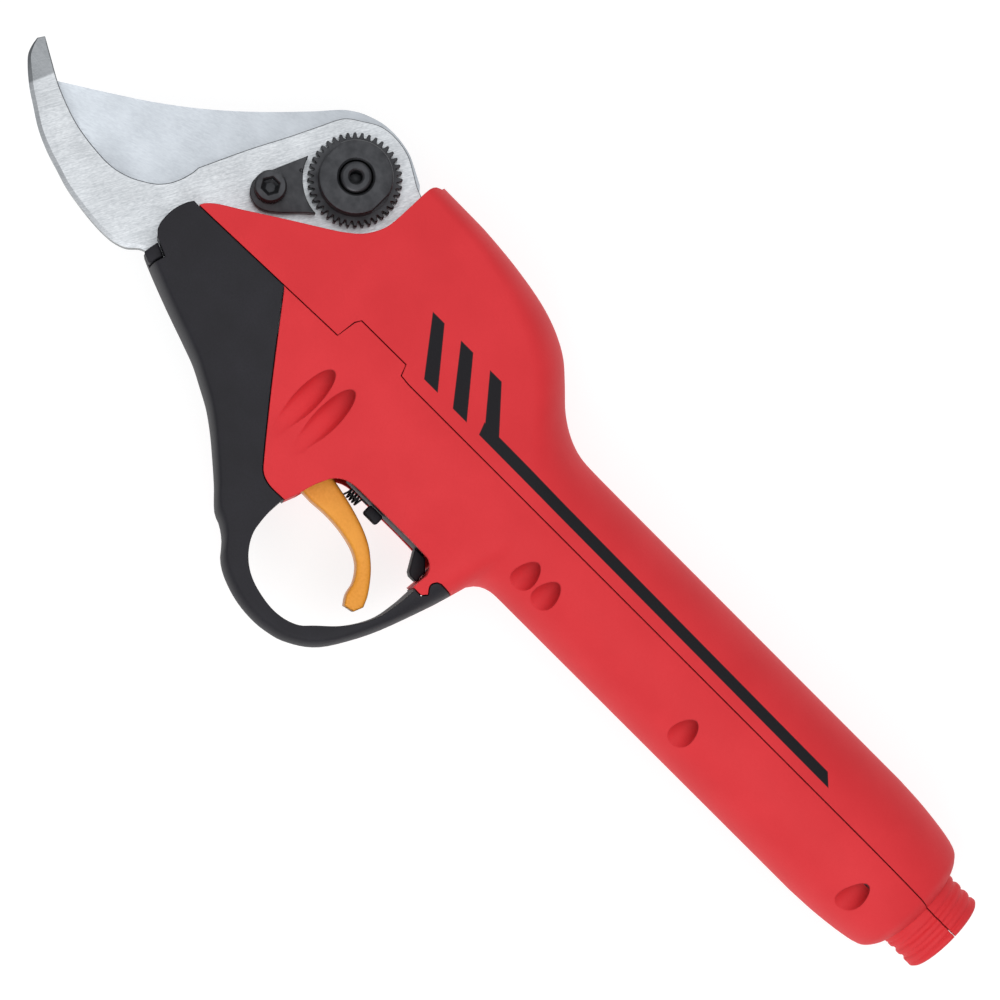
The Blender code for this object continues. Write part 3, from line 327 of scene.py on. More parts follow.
tipGrind = {"turn": math.radians(7), "shade": "#75787B", "outlines": [[(71.6, 4.0), (75.8, 14.5),
        (84.0, 14.0), (86.0, -2.0)]]}
finishes = {"red_soft_grip": softTouchRed(),
    # glass-filled nylon from a spark-eroded mould: near black, dull, faintly sparkling
    "black_nylon": mouldedPlastic("glassFilledNylon", "#1D1C21", "#242329", 0.58, 0.5, 0.03, 0.35),
    # dyed nylon, polished mould: a little glossier, even colour
    "orange_nylon": mouldedPlastic("dyedNylonOrange", "#F0A23E", "#E2912F", 0.42, 0.6, 0.01, 0.4),
    # tool steel, flat ground: bright grey with fine parallel scratches
    # painted shade on the sides
    "ground_steel": groundSteel("groundToolSteel", "#CBCED1", "#B0B4B8", 0.36, 0.16, math.radians(-62),
        cross=tipGrind, wall=0.85),
    # the cutting blade is ground finer and left brighter
    # painted shade on the sides and towards the pivot
    "bright_steel": groundSteel("fineGroundToolSteel", "#C9CFD5", "#BEC4CB", 0.34, 0.14, math.radians(-20),
        0.003, wall=0.6, pivotShade={"from": 8.0, "to": 62.0, "shade": "#9A9EA3"}),
    "machined_steel": groundSteel("machinedSteel", "#C9CCCE", "#A9ADB0", 0.32, 0.2, 0.0, edge=0.15),
    # black oxide on steel: near black with a low metallic gleam and grey edges
    "black_oxide_steel": castMetal("blackOxideSteel", "#434447", "#343538", 0.4, 0.7, 0.35, 0.012, 0.2),
    "cast_alloy": castMetal("dieCastAluminium", "#BFC1C3", "#A6A8AA", 0.45, 1.0, 0.5, 0.02),
    "bronze": castMetal("sinteredBronze", "#B98A4E", "#9C7340", 0.4, 1.0, 0.3, 0.01),
    "copper_winding": castMetal("enamelledCopper", "#B5653A", "#8E4A28", 0.35, 1.0, 0.4, 0.05),
    "rotor_steel": castMetal("laminatedSteel", "#7F8285", "#66696C", 0.4, 1.0, 0.35, 0.02),
    "circuit_board": mouldedPlastic("solderMask", "#1F6B3C", "#195630", 0.4, 0.8, 0.01, 0.0),
    "brass": castMetal("machinedBrass", "#D8B45E", "#C39D4B", 0.28, 1.0, 0.3, 0.006), }
print("materials made:", len(finishes))

# ---- shapes


def finishPiece(name, mesh, slot, body, replaced, angle=32, finish=None):
    # makes a millimetre mesh into a finished piece of the model
    form = bmesh.new()
    form.from_mesh(mesh)
    bmesh.ops.remove_doubles(form, verts=form.verts, dist=weld)
    bmesh.ops.recalc_face_normals(form, faces=form.faces)
    form.to_mesh(mesh)
    form.free()
    mesh.transform(Matrix.Scale(mm, 4))
    mesh.materials.clear()
    mesh.materials.append(finishes[finish or slot])
    mesh.shade_smooth()
    mesh.set_sharp_from_angle(angle=math.radians(angle))
    mesh.name = name
    piece = linked(name, mesh)
    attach(piece, body)
    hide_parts(*replaced)
    return piece


def loftMesh(name, rings):
    # joins rings of equal length and caps the ends; a one-point ring is a tip
    form = bmesh.new()
    levels = [[form.verts.new(point) for point in ring] for ring in rings]
    for low, high in zip(levels, levels[1:]):
        count = max(len(low), len(high))
        for i in range(count):
            j = (i + 1) % count
            if len(low) == 1:
                form.faces.new((low[0], high[i], high[j]))
            elif len(high) == 1:
                form.faces.new((low[i], low[j], high[0]))
            else:
                form.faces.new((low[i], low[j], high[j], high[i]))
    for end in (levels[0], levels[-1]):
        if len(end) > 2:
            form.faces.new(end)
    form.normal_update()
    bmesh.ops.triangulate(form, faces=form.faces)
    bmesh.ops.recalc_face_normals(form, faces=form.faces)
    mesh = bpy.data.meshes.new(name)
    form.to_mesh(mesh)
    form.free()
    return mesh


def prismMesh(name, outline, low, high):
    return loftMesh(name, [[(x, y, z) for x, y in outline] for z in (low, high)])


def wavyRing(centre, z, steps, radiusAt):
    angles = [2 * math.pi * i / steps for i in range(steps)]
    return [(centre[0] + radiusAt(a) * math.cos(a), centre[1] + radiusAt(a) * math.sin(a), z)
        for a in angles]


def turnedMesh(name, profile, axis, centre, steps=64):
    # profile is (radius, height along the axis); centre is the other two coordinates
    rings = []
    for radius, height in profile:
        ring = []
        for i in range(steps if radius > 0 else 1):
            a = 2 * math.pi * i / steps
            u, v = centre[0] + radius * math.cos(a), centre[1] + radius * math.sin(a)
            ring.append({"X": (height, u, v), "Y": (u, height, v), "Z": (u, v, height)}[axis])
        rings.append(ring)
    return loftMesh(name, rings)


def rodMesh(name, radius, low, high, axis, centre, steps=64):
    return turnedMesh(name, [(0, low), (radius, low), (radius, high), (0, high)], axis, centre, steps)


def boxMesh(name, low, high):
    return prismMesh(name, [(low[0], low[1]), (high[0], low[1]), (high[0], high[1]), (low[0], high[1])],
        low[2], high[2])


def combined(mesh, tools):
    # tools is a list of (mesh, operation); returns the mesh after all of them
    target = linked("carving", mesh)
    helpers = [linked("carvingTool", tool) for tool, operation in tools]
    for helper, (tool, operation) in zip(helpers, tools):
        step = target.modifiers.new("Carve", "BOOLEAN")
        step.operation, step.solver, step.object = operation, "MANIFOLD", helper
    result = settled(target)
    for old in helpers + [target]:
        bpy.data.objects.remove(old)
    return result


def settled(target):
    graph = bpy.context.evaluated_depsgraph_get()
    return bpy.data.meshes.new_from_object(target.evaluated_get(graph))


# Rounding of moulded and pressed edges: turns sharper than angle, in degrees; flatter than level is one face
rounded = {"segments": 3, "angle": 35, "level": 0.5}


def bevelled(mesh, width):
    target = linked("bevelling", mesh)
    flat = target.modifiers.new("Planar", "DECIMATE")
    flat.decimate_type, flat.angle_limit = "DISSOLVE", math.radians(rounded["level"])
    step = target.modifiers.new("Bevel", "BEVEL")
    step.width, step.segments, step.limit_method = width, rounded["segments"], "ANGLE"
    step.angle_limit, step.harden_normals = math.radians(rounded["angle"]), False
    result = settled(target)
    bpy.data.objects.remove(target)
    return result


def eased(a, start, b, end, t):
    # from a to b, leaving along start and arriving along end
    return ((1 + 2 * t) * (1 - t) ** 2 * a + t * (1 - t) ** 2 * start + t * t * (3 - 2 * t) * b
        + t * t * (t - 1) * end)


def smoothTable(points):
    # a smooth function through (x, y) points that never overshoots them
    xs, ys = np.array(sorted(points), float).T
    slopes = np.diff(ys) / np.diff(xs)
    tangents = np.concatenate([[slopes[0]], (slopes[:-1] + slopes[1:]) / 2, [slopes[-1]]])
    for i in range(1, len(xs) - 1):
        if slopes[i - 1] * slopes[i] <= 0:
            tangents[i] = 0
        else:
            limit = 3 * min(abs(slopes[i - 1]), abs(slopes[i]))
            tangents[i] = math.copysign(min(abs(tangents[i]), limit), slopes[i])

    def read(x):
        x = min(max(x, xs[0]), xs[-1])
        i = min(int(np.searchsorted(xs, x, side="right")) - 1, len(xs) - 2)
        width = xs[i + 1] - xs[i]
        return float(eased(ys[i], width * tangents[i], ys[i + 1], width * tangents[i + 1],
            (x - xs[i]) / width))

    return read


def smoothPath(points, spacing=0.7, corner=38.0):
    # a path through the points, curved at gentle turns and sharp where it turns more than corner degrees
    spots = [Vector(point) for point in points]
    last = len(spots) - 1

    def isCorner(i):
        return i in (0, last) or math.degrees((spots[i] - spots[i - 1]).angle(spots[i
            + 1] - spots[i])) > corner

    path = []
    for i in range(last):
        a, b = spots[i], spots[i + 1]
        span = (b - a).length
        start = (b - a) if isCorner(i) else (b - spots[i - 1]).normalized() * span
        end = (b - a) if isCorner(i + 1) else (spots[i + 2] - a).normalized() * span
        steps = max(1, round(span / spacing))
        path += [tuple(eased(a, start, b, end, k / steps)) for k in range(steps)]
    return path + [tuple(points[-1])]


def offsetPath(path, distance, closed=False):
    # moved sideways, to the left of its direction when distance is positive
    moved = []
    count = len(path)
    for i, (x, y) in enumerate(path):
        before = Vector(path[i - 1] if closed or i else path[0])
        after = Vector(path[(i + 1) % count] if closed or i < count - 1 else path[-1])
        along = (after - before).normalized()
        reach = distance(i) if callable(distance) else distance
        moved.append((x - along.y * reach, y + along.x * reach))
    return moved


def arcPath(centre, radius, start, end, count):
    angles = [math.radians(start + (end - start) * i / (count - 1)) for i in range(count)]
    return [(centre[0] + radius * math.cos(a), centre[1] + radius * math.sin(a)) for a in angles]


def startTree(name, sizes):
    # a Geometry Nodes tree with an input for each named size and one for the material
    tree = bpy.data.node_groups.new(name, "GeometryNodeTree")
    tree.interface.new_socket("Geometry", in_out="INPUT", socket_type="NodeSocketGeometry")
    for label in sizes:
        tree.interface.new_socket(label, in_out="INPUT", socket_type="NodeSocketFloat")
    tree.interface.new_socket("Material", in_out="INPUT", socket_type="NodeSocketMaterial")
    tree.interface.new_socket("Geometry", in_out="OUTPUT", socket_type="NodeSocketGeometry")
    return tree, addNode(tree, "NodeGroupInput").outputs


def endTree(tree, geometry, given):
    real = addNode(tree, "GeometryNodeRealizeInstances", {"Geometry": geometry})
    painted = addNode(tree, "GeometryNodeSetMaterial", {"Geometry": real.outputs["Geometry"],
        "Material": given["Material"]})
    addNode(tree, "NodeGroupOutput", {"Geometry": painted.outputs["Geometry"]})


def lifted(tree, geometry, height):
    shift = addNode(tree, "ShaderNodeCombineXYZ", {"Z": height}).outputs["Vector"]
    return addNode(tree, "GeometryNodeTransform", {"Geometry": geometry,
        "Translation": shift}).outputs["Geometry"]


def grown(tree, points, sizes, finish, joined=False, lengths=None):
    # runs a tree on a host mesh of points, joined into one path where asked, and returns the plain mesh
    hostMesh = bpy.data.meshes.new("host")
    hostMesh.from_pydata(points, [(i, i + 1) for i in range(len(points) - 1)] if joined else [], [])
    if lengths:
        hostMesh.attributes.new("length", "FLOAT", "POINT").data.foreach_set("value", lengths)
    host = linked("host", hostMesh)
    step = host.modifiers.new("Grow", "NODES")
    step.node_group = tree
    values = {**sizes, "Material": finishes[finish]}
    for socket in tree.interface.items_tree:
        if socket.in_out == "INPUT" and socket.name in values:
            step[socket.identifier] = values[socket.name]
    result = settled(host)
    bpy.data.objects.remove(host)
    return result


# ---- casing

casing = {"half": 20.0, "wall": 2.6, "edge": 3.0, "neckRadius": 11.8, "neckChamfer": 0.5, "tail": -242.8,
    "headEnd": -105.0, "handleEnd": -206.0, "shoulder": -232.4, "threadPitch": 2.9, "threadDepth": 0.5,
    "threadFrom": -233.6, "threadTo": -241.6, "threadFade": 0.6, "mouthZ": (10.3, 25.6),
    "driveBore": (13.2, -223.0, -86.0), "neckBore": (9.5, -247.8, -218.0), "pinHole": (1.9, 9.0, 31.0),
    # where the form is cut across: start, end and step along X
    "stations": [(27.0, -104.0, -1.3), (-105.0, -206.0, -3.0), (-206.4, -228.0, -1.2),
        (-228.4, -232.4, -0.25), (-232.4, -242.3, -0.24)],
    "hollowStations": [19, 12, 4, -5, -12, -17.5, -20.5, -23, -36, -37, -46, -54, -64, -69, -74, -79, -82,
        -83, -84, -89, -95, -130, -206, -214, -222],
    "hollowNarrows": 0.12, "bossOut": 25.0, "recessOut": 45.0, "regionZ": (-10.0, 50.0),
    "seatZ": (25.5, 50.0),
    "frontEdge": [(21.9, 4.8), (21.3, 3.5), (18.9, 1.3), (14.0, -1.8), (4.3, -8.1), (-5.5, -14.3),
        (-8.5, -16.4), (-11.6, -19.2), (-13.7, -22.5), (-14.7, -25.5), (-15.1, -31.7), (-15.4, -39.0),
        (-16.1, -40.8), (-17.4, -41.7)],
    "upperSeam": [(21.9, 4.8), (-6.9, 3.9)],
    "partingLine": [(-6.9, 3.9), (-25.0, 3.3), (-25.7, -2.0), (-26.6, -3.5), (-42.1, -3.6), (-43.2, -0.8),
        (-46.0, -0.5), (-250.0, -0.5)],
    "lowerSeam": [(-6.9, 3.9), (-20.0, 20.8), (-29.8, 33.0), (-33.8, 37.8), (-35.4, 39.6), (-37.3, 40.7),
        (-39.8, 41.2), (-44.5, 41.1)],
    "hookSeam": [(-82.6, 34.0), (-85.5, 34.0), (-86.7, 32.6), (-85.5, 31.0), (-85.4, 30.1), (-86.1, 28.9),
        (-87.3, 28.5), (-96.0, 28.5)],
    "window": [(-83.0, 29.4), (-82.0, 27.5), (-79.9, 26.2), (-56.8, 26.1), (-53.1, 26.4), (-50.7, 27.4),
        (-49.1, 28.9), (-48.2, 30.5), (-46.9, 33.5), (-45.8, 37.6)],
    "ringInside": [(-44.0, 41.3), (-43.8, 45.2), (-44.0, 48.3), (-44.7, 52.1), (-46.3, 55.2), (-48.8, 58.0),
        (-51.9, 60.1), (-55.7, 61.5), (-61.2, 62.4), (-65.6, 62.0), (-69.3, 60.5), (-72.2, 57.8),
        (-77.7, 52.4), (-81.6, 45.9), (-83.0, 39.4), (-83.4, 34.3)],
    "nose": [(21.0, 23.6), (24.0, 22.2), (24.0, 17.2), (25.3, 15.7), (25.9, 13.3), (25.7, 9.6), (24.6, 6.5),
        (23.5, 4.85)],
    "backEdge": [(27.0, -44.0), (-29.5, -43.9), (-37.0, -43.5), (-44.4, -42.8), (-54.4, -41.2),
        (-59.3, -39.9), (-64.3, -37.9), (-69.3, -35.0), (-74.2, -30.6), (-79.2, -25.8), (-84.2, -22.5),
        (-89.2, -20.6), (-94.1, -20.1), (-105.0, -20.0)],
    "guardEdge": [(27.0, 21.0), (21.0, 23.6), (11.0, 27.5), (0.9, 31.1), (-4.1, 33.0), (-9.1, 35.6),
        (-14.2, 38.4), (-19.2, 42.0), (-24.2, 46.2), (-29.3, 50.7), (-34.3, 55.5), (-37.4, 56.9),
        (-40.9, 59.6), (-43.2, 62.4), (-45.7, 64.3), (-49.4, 66.0), (-54.4, 67.4), (-60.1, 67.9),
        (-64.5, 67.5), (-69.5, 66.1), (-77.0, 60.8), (-81.3, 54.2), (-84.6, 47.6), (-87.9, 38.9),
        (-91.2, 29.0), (-92.1, 25.2), (-93.3, 23.0), (-94.9, 21.4), (-97.4, 20.3), (-100.2, 20.0),
        (-105.0, 20.0)],
    "tailProfile": [(-206.4, 20.0), (-214.4, 19.6), (-219.4, 19.1), (-224.4, 18.4), (-227.9, 17.6),
        (-229.4, 16.9), (-230.7, 15.5), (-231.7, 13.8), (-232.4, 11.8)],
    "backRadius": [(27, 6), (-30, 7), (-50, 9.5), (-70, 14), (-95, 20)],
    "hollowBack": [(19.0, 8.0), (12.0, 2.5), (4.0, -2.5), (-5.0, -8.5), (-12.0, -14.0), (-17.5, -22.0),
        (-20.5, -36.0), (-23.0, -41.2), (-36.0, -40.8), (-54.0, -38.4), (-64.0, -35.1), (-69.0, -32.2),
        (-74.0, -27.8), (-79.0, -23.0), (-84.0, -19.7), (-89.0, -17.9), (-95.0, -17.4)],
    "hollowFront": [(19.0, 17.5), (12.0, 21.0), (4.0, 24.0), (-36.0, 24.0), (-37.0, 37.8), (-82.0, 37.8),
        (-83.0, 18.6), (-95.0, 17.4)],
    "mouth": [(35.0, -50.0), (35.0, 21.9), (12.0, 21.9), (-12.0, 12.0), (-20.0, -6.0), (-23.0, -26.0),
        (-21.5, -38.0), (-17.0, -41.0), (-17.0, -50.0)],
    "bosses": [(-42.0, -26.0, 11.6, -13.0, 30.0), (-112.5, -95.5, 11.0, -19.0, 19.0),
        (-161.5, -151.5, 11.0, -19.0, 19.0), (-220.5, -211.5, 11.0, -19.0, 19.0)],
    "screws": [(-30.6, 6.4, -11.0), (-37.6, 6.4, -11.0), (-100.5, 4.6, -6.0), (-107.6, 4.6, -6.0),
        (-156.4, 4.6, -6.0), (-215.9, 4.6, -6.0)],
    "screwOffset": 15.2, "recess": 3.1, "screwHole": 1.5,
    "insertSeat": [(30.0, 16.4), (23.2, 17.5), (19.1, 19.3), (20.7, 24.0), (30.0, 24.0)],
    "triggerPin": (-42.5, 31.7), }


def sideTaper(y):
    # half thickness of the head: flat at the back, thinner towards the finger guard
    return midZ - 0.33 * min(max(y - 5, 0), 21) - 0.16 * max(y - 26, 0)


def casingRing(x, back, front, backRadius, half, wall, edge, share, fine):
    # one closed ring of points in the plane x; share runs from 0, the head, to 1, the round handle
    near = []
    for i in range(fine):
        a = math.radians((90 - 9 * share) * i / (fine - 1))
        near.append((back + backRadius * (1 - math.cos(a)), half * math.sin(a)))
    flatEnd = min(4.0, front - edge - 0.5) * (1 - share)
    start = math.asin(min(1.0, flatEnd / front))
    flats, rounds = 2 * fine, fine
    for i in range(flats + rounds):
        a = start + (math.pi / 2 - start) * i / (flats + rounds - 1)
        roundPoint = Vector((front * math.sin(a), half * math.cos(a)))
        if i < flats:
            y = flatEnd + (front - edge - flatEnd) * i / (flats - 1)
            headPoint = Vector((y, min(sideTaper(y) - wall, half)))
        else:
            turn = math.pi / 2 * (i - flats + 1) / rounds
            headPoint = Vector((front - edge + edge * math.sin(turn),
                (sideTaper(front - edge) - wall) * math.cos(turn)))
        near.append(tuple(headPoint.lerp(roundPoint, share)))
    ring = [(x, y, midZ + h) for y, h in near[:-1]]
    ring.append((x, near[-1][0], midZ))
    return ring + [(x, y, midZ - h) for y, h in reversed(near[1:-1])]


def handleShare(x):
    share = min(max((-70.0 - x) / 30.0, 0.0), 1.0)
    return share * share * (3 - 2 * share)


def threadedRing(ring, x):
    # the neck's shallow rounded thread
    turned = []
    run = min(max(0.0, casing["threadFrom"] - x), max(0.0, x - casing["threadTo"]), casing["threadFade"])
    run /= casing["threadFade"]
    for px, y, z in ring:
        angle = math.atan2(z - midZ, y)
        wave = math.cos(2 * math.pi * (x / casing["threadPitch"] - angle / (2 * math.pi)))
        dip = casing["threadDepth"] * run * (0.5 - 0.5 * max(-1.0, min(1.0, 1.9 * wave)))
        scale = 1 - dip / casing["neckRadius"]
        turned.append((px, y * scale, midZ + (z - midZ) * scale))
    return turned


def casingForm():
    guardEdge, backEdge = smoothTable(casing["guardEdge"]), smoothTable(casing["backEdge"])
    tail, backRadius = smoothTable(casing["tailProfile"]), smoothTable(casing["backRadius"])

    def roundRing(x, radius):
        return casingRing(x, -radius, radius, radius, radius, 0.0, casing["edge"], 1.0, 10)

    rings = []
    for x in np.concatenate([np.arange(*run) for run in casing["stations"]]):
        if x > casing["headEnd"]:
            back, front = backEdge(x), guardEdge(x)
            turnIn = min(backRadius(x), -back)
            ring = casingRing(x, back, front, turnIn, casing["half"], 0.0, casing["edge"], handleShare(x),
                10)
        elif x > casing["handleEnd"]:
            ring = roundRing(x, casing["half"])
        else:
            ring = roundRing(x, tail(x) if x > casing["shoulder"] else casing["neckRadius"])
        rings.append(threadedRing(ring, x) if x < casing["threadFrom"] else ring)
    chamfer = casing["neckChamfer"]
    rings.append(roundRing(casing["tail"] + chamfer, casing["neckRadius"]))
    rings.append(roundRing(casing["tail"], casing["neckRadius"] - chamfer))
    return loftMesh("casingForm", rings)


def hollowTools():
    # the hollow inside the casing, with bosses left for its screws
    back, front = smoothTable(casing["hollowBack"]), smoothTable(casing["hollowFront"])
    backRadius = smoothTable(casing["backRadius"])
    rings = []
    for x in casing["hollowStations"]:
        half = midZ - casing["wall"] - max(0.0, casing["handleEnd"] - x) * casing["hollowNarrows"]
        low, high = (-half, half) if x < -95 else (back(x), front(x))
        turnIn = half if x < -95 else max(2.5, min(backRadius(x) - casing["wall"], -low))
        rings.append(casingRing(x, low, high, turnIn, half, casing["wall"], 0.6, handleShare(x), 6))
    blocks = []
    for lowX, highX, offset, lowY, highY in casing["bosses"]:
        for side in (-1, 1):
            edges = sorted((midZ + side * offset, midZ + side * casing["bossOut"]))
            blocks.append((boxMesh("boss", (lowX, lowY, edges[0]), (highX, highY, edges[1])), "DIFFERENCE"))
    bore = rodMesh("driveBore", *casing["driveBore"], "X", (0, midZ))
    return combined(loftMesh("hollow", rings), blocks + [(bore, "UNION")])


def casingTools():
    tools = [hollowTools(), prismMesh("mouth", casing["mouth"], *casing["mouthZ"])]
    tools.append(rodMesh("neckBore", *casing["neckBore"], "X", (0, midZ)))
    tools.append(rodMesh("pinHole", *casing["pinHole"], "Z", casing["triggerPin"], 32))
    for x, floor, end in casing["screws"]:
        for side in (-1, 1):
            profile = [(0, end - gap), (casing["screwHole"], end - gap), (casing["screwHole"], floor),
                (casing["recess"], floor), (casing["recess"], casing["recessOut"]),
                (0, casing["recessOut"])]
            tools.append(turnedMesh("recess", profile, "Y", (x, midZ + side * casing["screwOffset"]), 40))
    return tools


def casingPiece(name, region, slot, replaced, tools):
    steps = [(prismMesh("region", region, *casing["regionZ"]), "INTERSECT")] + [(tool, "DIFFERENCE")
        for tool in tools]
    mesh = combined(casingForm(), steps)
    finishPiece(name, mesh, slot, "casing", replaced, angle=34)


def buildCasing():
    tools = casingTools()
    parting, upperSeam = casing["partingLine"], casing["upperSeam"]
    lowerSeam, hook = smoothPath(casing["lowerSeam"], 1.0), smoothPath(casing["hookSeam"], 0.5)
    frontEdge, window = smoothPath(casing["frontEdge"], 0.8), smoothPath(casing["window"], 0.6)
    upper = offsetPath(parting, gap / 2)[::-1] + offsetPath(upperSeam, gap / 2)[-2::-1] + frontEdge[1:]
    upper += [(-17.4, -60.0), (-250.0, -60.0)]
    casingPiece("upper_shell_moulding", upper, "red_soft_grip", ["upper_shell"], tools)
    lower = offsetPath(parting, -gap / 2) + [(-250.0, 28.2)] + offsetPath(hook, gap / 2)[::-1]
    lower += window + offsetPath(lowerSeam, gap / 2)[:0:-1]
    casingPiece("lower_shell_moulding", lower, "red_soft_grip", ["lower_shell"], tools)
    guard = offsetPath(upperSeam, -gap / 2) + offsetPath(lowerSeam,
        -gap / 2)[1:] + smoothPath(casing["ringInside"], 0.8)
    guard += offsetPath(hook, -gap / 2)[1:] + [(-96.0, 80.0), (21.0, 80.0)] + smoothPath(casing["nose"],
        0.6)
    seat = prismMesh("insertSeat", casing["insertSeat"], *casing["seatZ"])
    casingPiece("finger_guard_moulding", guard, "black_nylon", ["front_guard"], tools + [seat])


buildCasing()
print("casing built")

# ---- blades

fixedBlade = {"z": (20.2, 25.2), "rim": 1.1, "rimDrop": 0.3, "ease": 0.25, "rimFade": (14, 10),
    "tipInset": (0.04, 0.12),
    "hook": [(80.4, 0.7), (81.5, 2.4), (81.0, 4.9), (79.8, 7.4), (74.8, 12.0), (69.8, 15.4), (64.9, 18.5),
        (59.9, 20.7), (54.9, 22.3), (50.0, 23.8), (45.0, 24.7), (40.0, 25.3), (35.6, 25.5), (32.0, 25.2),
        (28.8, 24.1), (25.1, 21.3)],
    "root": [(14.0, 20.6), (4.0, 18.0), (-8.0, 12.0), (-17.0, 9.0), (-18.5, -8.0), (-22.0, -17.0),
        (-30.0, -18.5), (-30.5, -32.0), (-20.5, -35.6), (-14.3, -38.3), (-12.1, -39.2), (-8.4, -41.4),
        (-4.7, -43.3), (0.3, -44.2), (5.2, -43.6), (10.2, -40.7), (12.7, -38.9), (14.2, -36.8),
        (16.1, -32.7), (20.1, -24.3), (24.5, -15.6)],
    "throat": [(30.1, -3.2), (30.2, -1.7), (30.6, 0.2), (31.3, 2.4), (32.6, 4.9), (34.5, 7.1), (36.9, 8.8),
        (40.0, 10.5), (43.7, 11.7), (46.9, 12.1), (50.0, 12.0), (54.9, 11.5), (59.9, 10.5), (64.9, 8.8),
        (69.8, 6.7), (74.8, 3.9)],
    "holes": [(pivot, 5.3), ((-25.0, -27.0), 2.3), ((8.5, 11.0), 2.3), ((-13.0, 6.0), 2.3),
        ((13.4, -11.9), 2.8)], }
movingBlade = {"z": (15.9, 19.9), "bevel": 7.0, "bevelFade": (22, 12), "land": 0.35, "pin": 28.0,
    "pinAngle": 114.0,
    "lugArc": (6.4, 30, 200, 24), "heelArc": (17.0, 165, 225, 16), "pivotHole": 6.8, "pinHole": 3.3,
    "spine": [(-8.1, -42.8), (-4.4, -44.5), (0.6, -45.4), (5.6, -45.2), (10.6, -43.6), (13.1, -42.2),
        (15.6, -40.2), (20.6, -34.5), (30.6, -24.1), (40.6, -15.0), (50.6, -7.3), (60.6, -0.6),
        (70.6, 5.8)],
    "edge": [(72.6, 7.2), (66.0, 10.6), (58.0, 13.6), (50.0, 15.2), (42.0, 15.0), (34.0, 12.2), (27.0, 7.4),
        (21.0, 0.6), (17.0, -7.0)],
    "inside": [(10.5, -13.0), (0.0, -9.5)], }


def drills(places, low=5, high=40, steps=48):
    return [(rodMesh("drill", radius, low, high, "Z", centre, steps), "DIFFERENCE") for centre,
        radius in places]


def buildFixedBlade():
    low, high = fixedBlade["z"]
    hook = smoothPath(fixedBlade["hook"] + fixedBlade["root"][:1], 0.8)[:-1]
    root = smoothPath(fixedBlade["root"] + fixedBlade["throat"][:1], 1.0)[:-1]
    throat = smoothPath(fixedBlade["throat"] + fixedBlade["hook"][:1], 0.7)[:-1]
    outline = hook + root + throat

    def rim(i):
        # the hook's outside is chamfered by hand grinding; everything else only loses its burr
        rise, fall = fixedBlade["rimFade"]
        share = min(1.0, i / rise, max(0.0, (len(hook) - i) / fall)) if i < len(hook) else 0.0
        width = fixedBlade["ease"] + (fixedBlade["rim"] - fixedBlade["ease"]) * share
        least, growth = fixedBlade["tipInset"]
        return min(width, least + growth * (Vector(outline[i]) - Vector(outline[0])).length)

    drop = [min(fixedBlade["rimDrop"], 1.2 * rim(i)) for i in range(len(outline))]
    inset = offsetPath(outline, rim, closed=True)
    rings = [[(x, y, low) for x, y in inset], [(x, y, low + d) for (x, y), d in zip(outline, drop)],
        [(x, y, high - d) for (x, y), d in zip(outline, drop)], [(x, y, high) for x, y in inset]]
    mesh = combined(loftMesh("fixedBlade", rings), drills(fixedBlade["holes"]))
    finishPiece("fixed_blade_ground", mesh, "ground_steel", "casing", ["fixed_blade"], angle=11)


def buildMovingBlade():
    low, high = movingBlade["z"]
    a = math.radians(movingBlade["pinAngle"])
    pin = (pivot[0] + movingBlade["pin"] * math.cos(a), pivot[1] + movingBlade["pin"] * math.sin(a))
    body = arcPath(pin, *movingBlade["lugArc"]) + arcPath(pivot, *movingBlade["heelArc"])
    body += smoothPath(movingBlade["spine"] + movingBlade["edge"][:1], 1.0)[:-1]
    edge = smoothPath(movingBlade["edge"], 1.0)
    outline = body + edge + movingBlade["inside"]
    inner = list(outline)
    inward = offsetPath(outline, movingBlade["bevel"], closed=True)
    rise, fall = movingBlade["bevelFade"]
    for i in range(len(body), len(body) + len(edge)):
        share = min(1.0, (i - len(body) + 0.6) / rise, (len(body) + len(edge) - i) / fall)
        inner[i] = tuple(Vector(outline[i]).lerp(Vector(inward[i]), share))
    levels = [(inner, low), (outline, high - movingBlade["land"]), (outline, high)]
    blank = loftMesh("movingBlade", [[(x, y, z) for x, y in path] for path, z in levels])
    mesh = combined(blank, drills([(pivot, movingBlade["pivotHole"]), (pin, movingBlade["pinHole"])]))
    finishPiece("moving_blade_ground", mesh, "ground_steel", "cutting_blade", ["moving_blade"], angle=20,
        finish="bright_steel")


buildFixedBlade()
buildMovingBlade()
print("blades built")

# ---- pivot, nut and lock

nut = {"teeth": 40, "root": 10.7, "tip": 12.0, "base": 25.5, "flange": 29.5, "top": 34.8, "body": 9.4,
    "flat": 8.7,
    "bore": 4.35, "boreFlare": 0.6, "chamfer": 0.45, "samples": 10, "waveFrom": 0.12, "waveRun": 0.72}
bolt = {"profile": [(0, 7.5), (9.2, 7.5), (9.75, 7.7), (10.0, 8.3), (10.0, 12.5), (5.0, 12.5), (5.0, 25.3),
        (4.0, 25.3), (4.0, 34.3), (3.75, 34.85), (3.3, 35.1), (2.1, 35.1), (1.65, 34.7), (1.65, 29.0),
        (0, 28.2)],
    "hex": 3.4, "hexDepth": (5.0, 10.5)}
lock = {"outline": [(17.9, -12.0), (17.6, -9.6), (16.1, -7.4), (13.3, -6.3), (10.8, -6.8), (7.4, -9.3),
        (3.8, -13.0), (0.9, -15.6)],
    "reach": 13.2, "z": (25.5, 29.5), "screw": (13.4, -11.9), "hole": 2.8, "dimple": (11.1, -20.7),
    "edge": 0.45}
capScrew = {"head": 4.15, "low": 29.8, "high": 34.4, "shank": 2.5, "end": 20.6, "hex": 2.3,
    "hexFloor": 31.4, "knurls": 36,
    "knurl": 0.09}


